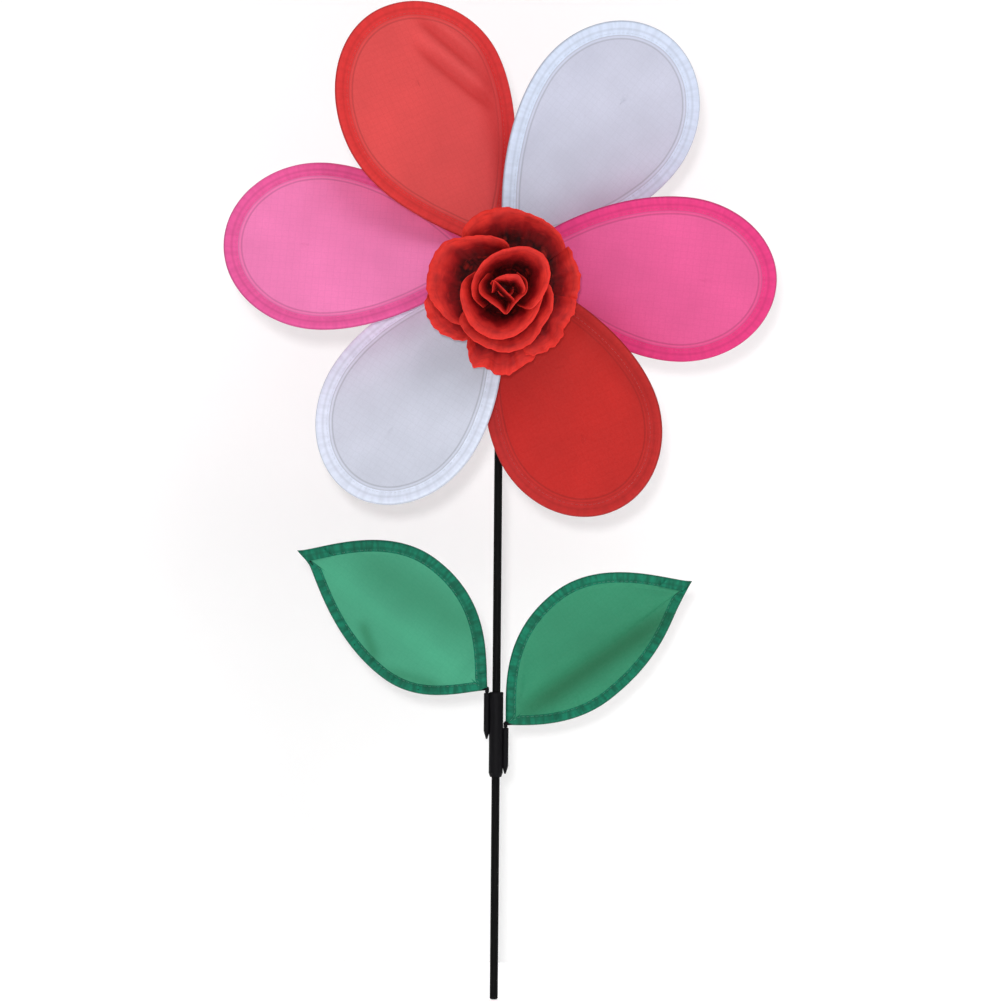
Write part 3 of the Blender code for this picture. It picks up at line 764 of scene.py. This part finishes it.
def hem_cloth(name, base, deep):
    """The same cloth doubled over the wire, deeper in colour, with small shadows where it is gathered."""
    shader = Shader(name, Roughness=0.62, Sheen_Weight=0.08, Sheen_Roughness=0.4, Specular_IOR_Level=0.2)
    where = shader.uv("hem")
    from_fold = shader.math("ABSOLUTE", shader.split(where)[1])
    gathers = shader.noise(shader.scaled(where, 26, 7, 1), 1.0, 2.0)
    weave_map = shader.uv("weave")
    threads = [shader.thread(place) for place in shader.split(weave_map)[:2]]
    weave = shader.math("MULTIPLY", threads[0], threads[1])
    grain = shader.noise(weave_map, 70.0, 2.0)
    tone = shader.toward(deep, base, gathers, 0.36, 0.6)
    tone = shader.toward(tone, deep, grain, 0.4, 0.75, 0.0, 0.15)
    # Painted shade, deeper within a millimetre of the fold, where the hem rolls round its wire.
    tone = shader.toward(tone, tinted(deep, 0.5), from_fold, 0.002, 0.012, 0.6, 0.0)
    tone = shader.mix(shader.line(from_fold, 0.058, 0.002, 0.014, 0.4), tone, tinted(deep, 0.7))
    shader.colour(shaded(shader, tone, base))
    shader.rough(grain, 0.55, 0.72)
    shader.bump(shader.sum_of(weave, 0.2, gathers, 4.0), 0.00008, 0.6)
    return shader.material


def thread_material(name, base):
    """Spun polyester thread."""
    shader = Shader(name, Roughness=0.55, Sheen_Weight=0.3)
    where = shader.add("TexCoord").outputs["Object"]
    twist = shader.noise(where, 2500.0, 1.0)
    shader.colour(shader.toward(tinted(base, 0.75), base, twist, 0.3, 0.7))
    shader.rough(twist, 0.45, 0.7)
    shader.bump(twist, 0.00005, 0.5)
    return shader.material


def moulded(name, base, rough, grain=900.0, metallic=0.0, gloss=0.12):
    """Moulded, drawn or coated material: fine surface grain, with scuffs that change its roughness."""
    shader = Shader(name, Roughness=rough, Metallic=metallic, Specular_IOR_Level=gloss)
    where = shader.add("TexCoord").outputs["Object"]
    fine = shader.noise(where, grain, 3.0)
    wear = shader.noise(where, grain / 18, 4.0)
    shader.colour(shader.toward(tinted(base, 0.8), tinted(base, 1.25), wear, 0.35, 0.7))
    shader.rough(wear, rough - 0.08, rough + 0.08)
    shader.bump(fine, 0.00003, 0.5)
    return shader.material


def drawn_rod(name, base, rough):
    """Pultruded rod: long fine lines along its length under a dull skin."""
    shader = Shader(name, Roughness=rough, Specular_IOR_Level=0.06)
    where = shader.add("TexCoord").outputs["Object"]
    lines = shader.noise(shader.scaled(where, 1, 1, 0.02), 2200.0, 3.0)
    wear = shader.noise(where, 35.0, 4.0)
    shader.colour(shader.toward(tinted(base, 0.7), tinted(base, 1.4), lines, 0.3, 0.7))
    shader.rough(wear, rough - 0.08, rough + 0.1)
    shader.bump(lines, 0.00004, 0.5)
    return shader.material


def silk(name, bright, middle, hollow_shade):
    """Rose silk, with faint veins: painted light at the rim, painted shade (deep red) down into the flower.
    """
    sheen = {"Sheen_Weight": 0.12, "Sheen_Roughness": 0.45, "Sheen_Tint": tinted(bright, 1.1)}
    shader = Shader(name, Roughness=0.62, Specular_IOR_Level=0.2, **sheen)
    where = shader.uv("depth")
    rise = shader.split(where)[1]
    veins = shader.noise(shader.scaled(where, 9, 1.6, 1), 1.0, 3.0)
    cloudy = shader.noise(where, 4.0, 3.0)
    weave = shader.noise(where, 160.0, 1.0)
    shift = shader.math("ADD", rise, shader.math("MULTIPLY", shader.math("SUBTRACT", cloudy, 0.5), 0.4))
    # Painted shade low in the flower, rising through the middle red to painted light at the rim.
    tone = shader.toward(hollow_shade, middle, shift, 0.4, 0.68)
    tone = shader.toward(tone, bright, shift, 0.6, 0.92)
    tone = shader.toward(tone, middle, veins, 0.45, 0.75, 0.0, 0.3)
    # Painted shade and a painted highlight follow the crease noise, which the bump also raises.
    creases_and_shade = shader.noise(shader.scaled(where, 3, 9, 1), 1.0, 4.0)
    tone = shader.toward(tone, tinted(middle, 0.7), creases_and_shade, 0.48, 0.7, 0.0, 0.5)
    tone = shader.toward(tone, tinted(bright, 1.25), creases_and_shade, 0.42, 0.3, 0.0, 0.25)
    # A painted highlight along the very rim.
    tone = shader.toward(tone, tinted(bright, 1.5), rise, 0.955, 0.985, 0.0, 0.35)
    shader.colour(tone)
    shader.rough(cloudy, 0.55, 0.72)
    height = shader.sum_of(veins, 1.0, weave, 0.3)
    shader.bump(shader.math("ADD", height, creases_and_shade), 0.0004, 0.6)
    return shader.material


# Each sail's slot, then its panel's and its hem's colour
# Sails of one cloth get lighter or darker copies of its colour: painted light and shade.
PETAL_COLOURS_AS_LIT = (
    ("pink", linear(220, 84, 142), linear(224, 58, 126)),
    ("white", linear(192, 194, 211), linear(206, 216, 236)),
    ("red", linear(213, 69, 69), linear(214, 50, 50)),
    ("pink", linear(236, 122, 178), linear(232, 90, 156)),
    ("white", linear(200, 204, 218), linear(222, 229, 246)),
    ("red", linear(184, 26, 20), linear(184, 38, 36)),
)
# The two leaves, of one cloth, likewise differ by painted light and shade.
LEAF_COLOURS_AS_LIT = {
    "left": ("green", linear(60, 150, 116), linear(8, 118, 90)),
    "right": ("green", linear(42, 134, 98), linear(10, 122, 92)),
}


def sail_materials(name, panel, hem, shadow, hem_width=None):
    cloth = ripstop(f"{name}_ripstop", panel, tinted(panel, 0.8), hem, hem_width)
    folded = hem_cloth(f"{name}_hem", hem, tinted(hem, shadow))
    return cloth, folded, thread_material(f"{name}_thread", tinted(hem, 0.9))


rose_silk = silk("rose_silk", linear(214, 44, 36), linear(150, 11, 18), linear(38, 2, 4))
fibreglass = drawn_rod("black_fibreglass", linear(9, 9, 9), 0.5)
plastic = moulded("black_plastic", linear(13, 12, 15), 0.5, gloss=0.08)
wire_coat = moulded("coated_wire", linear(14, 14, 15), 0.45)
steel = moulded("steel", linear(190, 190, 192), 0.32, metallic=1.0, gloss=0.5)
nylon = moulded("white_nylon", linear(228, 228, 224), 0.45, gloss=0.4)
calyx_green = moulded("calyx_plastic", linear(50, 104, 48), 0.5, grain=500.0)

# Wires


def tube(name, path, radius, place, material, sides=10):
    """A round wire along places in mm in a sail's own frame."""
    path = np.array(path, float)
    ahead = unit(np.gradient(path, axis=0))
    side = unit(np.cross(ahead, (0, 0, 1.0)))
    up = np.cross(side, ahead)
    angles = np.arange(sides) * 2 * pi / sides
    ring = side[:, None] * np.cos(angles)[None, :, None] + up[:, None] * np.sin(angles)[None, :, None]
    points = (path[:, None] + radius * ring).reshape(-1, 3)
    faces = tube_faces(len(path), sides)
    return mesh_object(name, to_world(place, points), faces, materials=[material])


def edge_wire(stands_for, body, line, ends, place):
    """The coated wire inside a sail's hem. ends are the places it leads through before and after the hem."""
    knots = [*ends[0], *line, *ends[1]]
    made = tube(f"{stands_for}_round", with_height(through(knots, 6 * len(knots))), WIRE_R, place, wire_coat)
    assign(made, body, stands_for)


def petal_wire(number, sheet, place):
    """From one bore of the hub, round the petal, to the other bore."""
    line = (sheet.edge + WIRE_INSET * sheet.inward)[::6]
    root = np.array(PETAL_START) - BORE_DEPTH * heading(PETAL_START_TURN)
    edge_wire(f"petal_wire_{number + 1}", "rotor", line, ([root], [root * (1, -1)]), place)


def leaf_wire(side, sheet, place):
    """From the end of one arm of the leaf's stem, round the leaf, to the end of the other arm."""
    total, tip = sheet.along[-1], sheet.along[sheet.half]
    base = WIRE_CLEAR["base"]
    kept = (sheet.along > base) & (sheet.along < total - base)
    kept &= np.abs(sheet.along - tip) > WIRE_CLEAR["tip"]
    kept &= np.arange(len(sheet.edge)) % 6 == 0
    line = (sheet.edge + WIRE_INSET * sheet.inward)[kept]
    upper, lower = (LEAF_ARM * heading(LEAF_ARM_TURN[arm]) for arm in ("upper", "lower"))
    edge_wire(f"{side}_leaf_wire", f"{side}_leaf", line, ((0.5 * upper, upper), (lower, 0.5 * lower)), place)


# Fabric sails

petals = range(len(PETAL_COLOURS_AS_LIT))
leaf_sides = ("left", "right")
places = [petal_place(k) for k in petals] + [leaf_place(side) for side in leaf_sides]
outlines = [petal_outline(fit) for fit in PETAL_FITS] + [leaf_outline(side) for side in leaf_sides]
cells = [PETAL_CELLS for k in petals] + [LEAF_CELLS for side in leaf_sides]
hem_widths = [(PETAL_HEM, PETAL_HEM) for k in petals] + [LEAF_HEM[side] for side in leaf_sides]
coarse = [Sheet(outline, cell, hem) for outline, cell, hem in zip(outlines, cells, hem_widths)]
shifts = simulate(list(zip(coarse, places)))

for k, (colour, panel_shade, hem_shade) in enumerate(PETAL_COLOURS_AS_LIT):
    *finishes, thread_finish = sail_materials(f"petal_{k + 1}", panel_shade, hem_shade, 0.9, PETAL_HEM)
    sheet = Sheet(outlines[k], cells[k], hem_widths[k], FINER)
    round_end = smooth_step(sheet.edge[:, 0], 120, 185)
    sail = Sail(sheet, finer_shift(shifts[k]), 0.04 + 0.07 * round_end, 60 + k, folds=FOLDS.get(k, ()))
    name = f"petal_sail_{k + 1}"
    cloth = sail.build(f"{name}_cloth", places[k], finishes)
    assign(cloth, "rotor", name)
    petal_wire(k, sheet, places[k])
    seam = sail.stitches(f"{name}_stitching", places[k], thread_finish)
    assign(seam, "rotor")


def strip(name, sheet, stations, place, facing, material, slant):
    """The end of the upper hem, full width over the lower one. A slant cuts it off at an angle."""
    across = np.linspace(0, 1, 9)
    depth = np.tile(across * sheet.hem[0], (len(stations), 1))
    along = sheet.along[stations][:, None] - slant * depth
    edge, inward = (
        np.stack([np.interp(along, sheet.along, column) for column in line.T], axis=-1)
        for line in (sheet.edge, sheet.inward)
    )
    crown = 0.9 + 1.9 * np.sin(pi * np.clip(across, 0.02, 0.9) ** 0.55)
    points = with_height(edge + inward * depth[..., None], crown * facing).reshape(-1, 3)
    index = np.arange(depth.size).reshape(depth.shape)
    faces = quads(index) if facing > 0 else quads(index)[:, ::-1]
    hem_map = np.stack([along, depth + 1.3], axis=-1).reshape(-1, 2) / 100
    uvs = {"weave": points[:, :2] / 100 + 3, "hem": hem_map, "folds": np.full_like(hem_map, 0.5)}
    return thicken(mesh_object(name, to_world(place, points), faces, uvs, materials=[material]), CLOTH)


for k, side in enumerate(leaf_sides, len(petals)):
    colour, panel_shade, hem_shade = LEAF_COLOURS_AS_LIT[side]
    *finishes, thread_finish = sail_materials(f"{side}_leaf", panel_shade, hem_shade, 0.55)
    sheet = Sheet(outlines[k], cells[k], hem_widths[k], FINER)
    lower_side = np.arange(sheet.around + 1) > sheet.half
    curved = smooth_step(sheet.edge[:, 0], 8, 30) * smooth_step(-sheet.edge[:, 0], -150, -110)
    pucker = 0.14 + np.where(lower_side, 0.5, 0.2) * curved
    facing = 1 if side == "right" else -1
    shift = finer_shift(shifts[k]) * (1, 1, LEAF_BREEZE[side])
    sail = Sail(sheet, shift, pucker, 80 + k, facing, LEAF_POUCH, FOLDS[side], LEAF_BILLOW[side])
    cloth = sail.build(f"{side}_leaf_cloth", places[k], finishes)
    assign(cloth, f"{side}_leaf", f"{side}_leaf_sail")
    leaf_wire(side, sheet, places[k])
    tip_length = sheet.along[sheet.half] - sheet.along
    ends = [("tip", (tip_length >= 0) & (tip_length < TIP_LENGTH), TIP_SLANT)]
    if side == "left":  # the right one has the connector beside it, and no room
        ends.append(("base", sheet.along < BASE_LENGTH, 0))
    for end, kept, slant in ends:
        stations = np.flatnonzero(kept)
        lapped = strip(f"{side}_leaf_{end}_lap", sheet, stations, places[k], facing, finishes[1], slant)
        assign(lapped, f"{side}_leaf")
    seam = sail.stitches(f"{side}_leaf_stitching", places[k], thread_finish)
    assign(seam, f"{side}_leaf")


# Rose

rose_face = Matrix.Translation(HUB) @ turned(90, "X")
rose_place = rose_face @ Matrix.Translation(ROSE_OFFSET) @ turned(ROSE_TILT, "X")


def rose_waves(span, seed):
    """Big and small ruffles and the creases along a petal's rim, all uneven."""
    phases = np.random.default_rng(900 + seed).uniform(0, 2 * pi, 6)
    lengths = (26, 15, 9, 5.5, 7, 11)
    sines = [np.sin(2 * pi * span / length + phase) for length, phase in zip(lengths, phases)]
    return sines[0] + 0.7 * sines[1], sines[2] + 0.6 * sines[3], 0.25 * sines[4] + 0.2 * sines[5]


def rose_petal(name, ring, rim, floor, ruffle, seed, heart=ROSE_HEART, core=7.0, arch=0.3):
    """A silk petal of one of the rings, which rises from the heart as a bowl and turns out at its rim.

    rim is places of (x, y, height, lip), where lip is how far the turned-out edge reaches.
    """
    around, up = PETAL_GRID
    line = through(rim, around)
    out = line[:, :2] - heart
    reach = np.linalg.norm(out, axis=1)
    out /= reach[:, None]
    height = line[:, 2]
    lip = np.clip(line[:, 3], 0.5, None)
    wall = np.maximum(reach - lip, core)
    v = np.linspace(0, 1, up + 1)[None, :]
    weights = ((1 - v) ** 3, 3 * (1 - v) ** 2 * v, 3 * (1 - v) * v * v, v**3)
    radii = (core, np.maximum(core, 0.85 * wall), wall, reach)
    heights = (floor, floor + 1.0, height + arch * lip, height)
    radius = sum(w * np.reshape(r, (-1, 1)) for w, r in zip(weights, radii))
    rise = sum(w * np.reshape(z, (-1, 1)) for w, z in zip(weights, heights))
    span = lengths_along(line[:, :3])
    big, small, crease = rose_waves(span, seed)
    ends = np.sin(pi * np.linspace(0, 1, around + 1)) ** 0.5
    edge = v**3
    rise = rise + ruffle * (ends * big)[:, None] * edge + 0.35 * ruffle * (ends * small)[:, None] * v**5
    radius = radius + 0.3 * ruffle * (ends * np.roll(small, 3))[:, None] * v**6
    rise = rise + crease[:, None] * np.sin(pi * v) * 1.2
    flat = heart + out[:, None, :] * radius[..., None]
    points = with_height(flat, rise).reshape(-1, 3)
    index = np.arange((around + 1) * (up + 1)).reshape(around + 1, up + 1)
    depth = np.stack(np.broadcast_arrays(span[:, None] / 50, v), axis=-1).reshape(-1, 2)
    points = to_world(rose_place, points)
    made = mesh_object(f"rose_{name}", points, quads(index), {"depth": depth}, materials=[rose_silk])
    assign(thicken(made, SILK), "rotor", f"rose_{ring}")


def rose_ring(name, radius, height, floor, seed):
    """A low round of silk about the stem, which keeps its green out of sight between the petals."""
    rim = [(radius * cos(turn), radius * sin(turn), height, 0.5) for turn in np.linspace(0, 2 * pi, 17)]
    rose_petal(name, "bud", rim, floor, 0.1, seed, heart=(0, 0), core=2.6, arch=0.1)


def box_corners(node):
    return np.array([list(corner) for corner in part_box(node)], float)


heart_floor = to_local(rose_place, box_corners("rose_stem"))[:, 2].max() + 1.5
calyx_r = 0.5 * np.ptp(box_corners("rose_calyx")[:, 0]) / MM
back = [
    (30, 4, 9, 2), (44, 20, 13, 3), (42, 37, 17, 4), (30, 48.5, 20, 5), (16, 54.5, 21, 6),
    (3, 58, 20, 9), (-9, 56.5, 19, 12), (-20, 52, 19, 13), (-29.5, 40, 18, 10), (-27, 18, 11, 2),
]
rose_petal("petal_back", "outer_petals", back, 5, 0.8, 1)
right = [
    (22, -18, 9, 2), (40, -27, 12, 4), (50, -14, 15, 8), (54.5, -2, 17, 10), (55.5, 10, 17.5, 9),
    (51.5, 20, 17, 8), (47, 30, 15, 4), (42, 24, 9, 2), (28, 16, 7, 1),
]
rose_petal("petal_right", "outer_petals", right, 6.5, 1.3, 2)
low_right = [
    (8, -30, 9, 2), (12, -46, 12, 6), (23, -48, 15, 9), (33, -44.5, 14, 10), (41, -38, 17, 11),
    (45.5, -27, 16, 11), (52, -16, 18, 10), (50, -6, 15, 6), (30, -2, 10, 2),
]
rose_petal("petal_low_right", "outer_petals", low_right, 7.5, 2.0, 3)
bottom = [
    (-18, -24, 9, 2), (-25, -37, 13, 4), (-24.5, -47.5, 16, 8), (-21, -57, 15, 12),
    (-12, -57.5, 13.5, 14), (-4.8, -62, 15, 16), (5, -62.5, 16, 16), (13, -57, 14.5, 14),
    (24, -48, 13, 10), (18, -26, 9, 2),
]
rose_petal("petal_bottom", "outer_petals", bottom, 5.5, 1.6, 4)
low_left = [
    (-24, 4, 9, 2), (-48, -1, 13, 4), (-56, -10, 17, 9), (-53.5, -22, 18, 12), (-47, -31, 16, 11),
    (-38, -36, 15, 8), (-27, -38, 14, 6), (-12, -28, 9, 2),
]
rose_petal("petal_low_left", "outer_petals", low_left, 6.5, 1.4, 5)
left = [
    (-10, -26, 12, 2), (-34, -26, 17, 4), (-48, -14, 21, 10), (-54.5, -2, 23, 14), (-54, 10, 24, 15),
    (-50.5, 22, 25, 14), (-42, 33, 26, 11), (-29, 36.5, 28, 8), (-16, 38, 30, 7), (-4, 36.5, 31, 6),
    (4, 31, 29, 4), (3, 18, 16, 1),
]
rose_petal("petal_left", "wide_petals", left, 10, 1.0, 6)
under_cup = [
    (-20, -8, 15, 2), (-31, -22, 21, 5), (-25, -34, 23, 8), (-14, -41.5, 23, 9), (0, -46, 23, 10),
    (12, -44, 23, 10), (22, -38, 23, 9), (29, -27, 24, 8), (36, -14, 24, 6), (34, 2, 22, 4),
    (20, 8, 14, 2),
]
rose_petal("petal_under_cup", "wide_petals", under_cup, 10.5, 0.8, 7)
cup_front = [
    (-20, 12, 24, 1), (-28, 6, 33, 4), (-30.5, -2, 36, 7), (-29, -13, 36, 9), (-22, -27, 36, 11),
    (-7, -35.8, 36, 12), (9, -33.5, 36, 12), (22, -22, 36, 10), (28, -8, 35, 7), (29, 4, 31, 3),
    (20, 12, 24, 1),
]
rose_petal("cup_front", "middle_petals", cup_front, 14, 0.5, 8, arch=0.2)
cup_back = [
    (-14, -14, 28, 1), (-21, -7, 36, 3), (-22.5, 2, 39, 4.5), (-20, 10.5, 40, 5), (-14, 19.8, 41, 6),
    (-4.7, 26.4, 41, 6.5), (5, 29.5, 41, 7), (17, 30.5, 41, 8), (29, 24.5, 41, 9.5),
    (33.7, 13.3, 41, 11), (32, 2.1, 41, 10), (26.5, -8, 40, 8), (19.6, -14.2, 39, 5), (11, -12, 28, 1),
]
rose_petal("cup_back", "inner_petals", cup_back, 16, 0.5, 9, arch=0.15)
bud_left = [
    (-10, 12, 28, 1), (-16.5, 4, 35, 2), (-16.5, -3, 38, 4), (-9, -9.5, 40, 4.5),
    (-2.5, -14.2, 41, 3.5), (1.9, -17.6, 42, 2), (5, -11, 36, 1),
]
rose_petal("bud_left", "bud", bud_left, 19, 0.25, 10, heart=(2, -1), core=3, arch=0.15)
bud_right = [
    (-2, -12, 36, 1), (2.4, -17.8, 42.5, 2), (8, -11.5, 42, 3), (13, -6, 41, 3.5), (17, -2, 39, 3),
    (17, 6, 35, 2), (10, 12, 28, 1),
]
rose_petal("bud_right", "bud", bud_right, 20, 0.25, 11, heart=(3, -1), core=3, arch=0.15)
bud_hood = [
    (-8, -3, 36, 1), (-6.5, 6, 41, 2.5), (-1, 9.8, 43, 5), (6, 11, 43.5, 6.5), (12, 9.5, 43, 6),
    (16, 0.5, 41, 3), (13, -5, 36, 1),
]
rose_petal("bud_hood", "bud", bud_hood, 29, 0.2, 12, heart=(4, 1), core=1, arch=0.1)
heart = [(2 + 6 * cos(turn), 6 * sin(turn), 30, 1.5) for turn in np.linspace(0, 2 * pi, 13)]
rose_petal("heart", "bud", heart, heart_floor, 0.1, 14, heart=(2, 0), core=0.2, arch=0.1)
rose_ring("stem_wrap", 5, heart_floor - 0.5, CALYX_TOP + 1, 15)
rose_ring("foot", calyx_r + 1.2, CALYX_TOP + 2.5, CALYX_TOP + 0.8, 16)
bud_edge = [
    (-9, 4, 38, 1), (-6.5, 6.4, 42, 1.2), (-1, 2.0, 43, 1.2), (4, -3, 43.5, 1.2), (8, -7, 43, 1.2),
    (8, -10, 38, 1),
]
rose_petal("bud_edge", "bud", bud_edge, 26, 0.15, 13, heart=(-5, -7), core=1.5, arch=0.1)


# Carried-over CAD parts

FINISHES = {
    "black_fibreglass": fibreglass,
    "black_plastic": plastic,
    "coated_wire": wire_coat,
    "steel": steel,
    "white_nylon": nylon,
    "rose_silk": rose_silk,
    "calyx_plastic": calyx_green,
}


def finish_of(node):
    """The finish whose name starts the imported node's own material."""
    packed = node.data.materials[0].name if node.data.materials else ""
    for key, material in FINISHES.items():
        if packed.startswith(key):
            return material
    return plastic


for name, node in frame["nodes"].items():
    if node.hide_render:
        continue
    finish = finish_of(node)
    node.data.materials.clear()
    node.data.materials.append(finish)

# Stage and camera

PAPER_WIDE = 4.0
WALL_BEHIND = 0.24
FLOOR_DROP = -0.0005
FIELD = 0.737  # width of the view at the pole
DISTANCE = 3.0
EYE = Vector((0.0018, -DISTANCE, 0.367))
ROLL = 0.5


def pale(name, base, glow, see_through):
    """Pale matt paper, lit a little from within. One that can be seen through is clear from behind."""
    shader = Shader(name, Roughness=0.9, Emission_Strength=glow, Emission_Color=(1, 1, 1, 1))
    shader.colour(base)
    if see_through:
        output = shader.nodes["Material Output"]
        behind = shader.add("NewGeometry").outputs["Backfacing"]
        clear = shader.add("BsdfTransparent").outputs[0]
        mixed = shader.add("MixShader", i0=behind, i1=shader.surface.outputs[0], i2=clear)
        shader.links.new(mixed.outputs[0], output.inputs["Surface"])
    return shader.material


def flat_sheet(name, corners, material):
    made = mesh_object(name, np.array(corners, float), [(0, 1, 2, 3)], materials=[material])


paper = (0.86, 0.86, 0.86, 1.0)
ends = (-PAPER_WIDE, PAPER_WIDE)
floor_corners = [(x, y, FLOOR_DROP) for y in ends for x in ends[:: int(-np.sign(y))]]
wall_corners = [(x, WALL_BEHIND, z) for z in (-0.1, PAPER_WIDE) for x in ends[:: 1 if z < 0 else -1]]
flat_sheet("floor", floor_corners, pale("floor_paper", paper, 0.45, False))
flat_sheet("backdrop", wall_corners, pale("backdrop_paper", paper, 0.15, True))


def area_light(name, place, target, size, power):
    data = bpy.data.lights.new(name, "AREA")
    data.size = size
    data.energy = power
    lamp = add_object(name, data)
    lamp.location = place
    lamp.rotation_euler = (Vector(target) - Vector(place)).to_track_quat("-Z", "Y").to_euler()


area_light("key", (-0.06, -3.2, 0.49), (0, 0, 0.4), 0.1, 27)
area_light("softbox", (0.7, -1.9, 2.3), (0, 0, 0.5), 1.2, 20)
world = bpy.data.worlds.new("studio")
bpy.context.scene.world = world
world.use_nodes = True
light = world.node_tree.nodes["Background"].inputs
light["Color"].default_value = (1, 1, 1, 1)
light["Strength"].default_value = 0.37

lens = bpy.data.cameras.new("camera")
lens.lens = 36 * DISTANCE / FIELD
camera = add_object("camera", lens)
camera.matrix_world = Matrix.Translation(EYE) @ turned(90, "X") @ turned(ROLL, "Z")
bpy.context.scene.camera = camera
bpy.context.scene.view_settings.view_transform = "Standard"
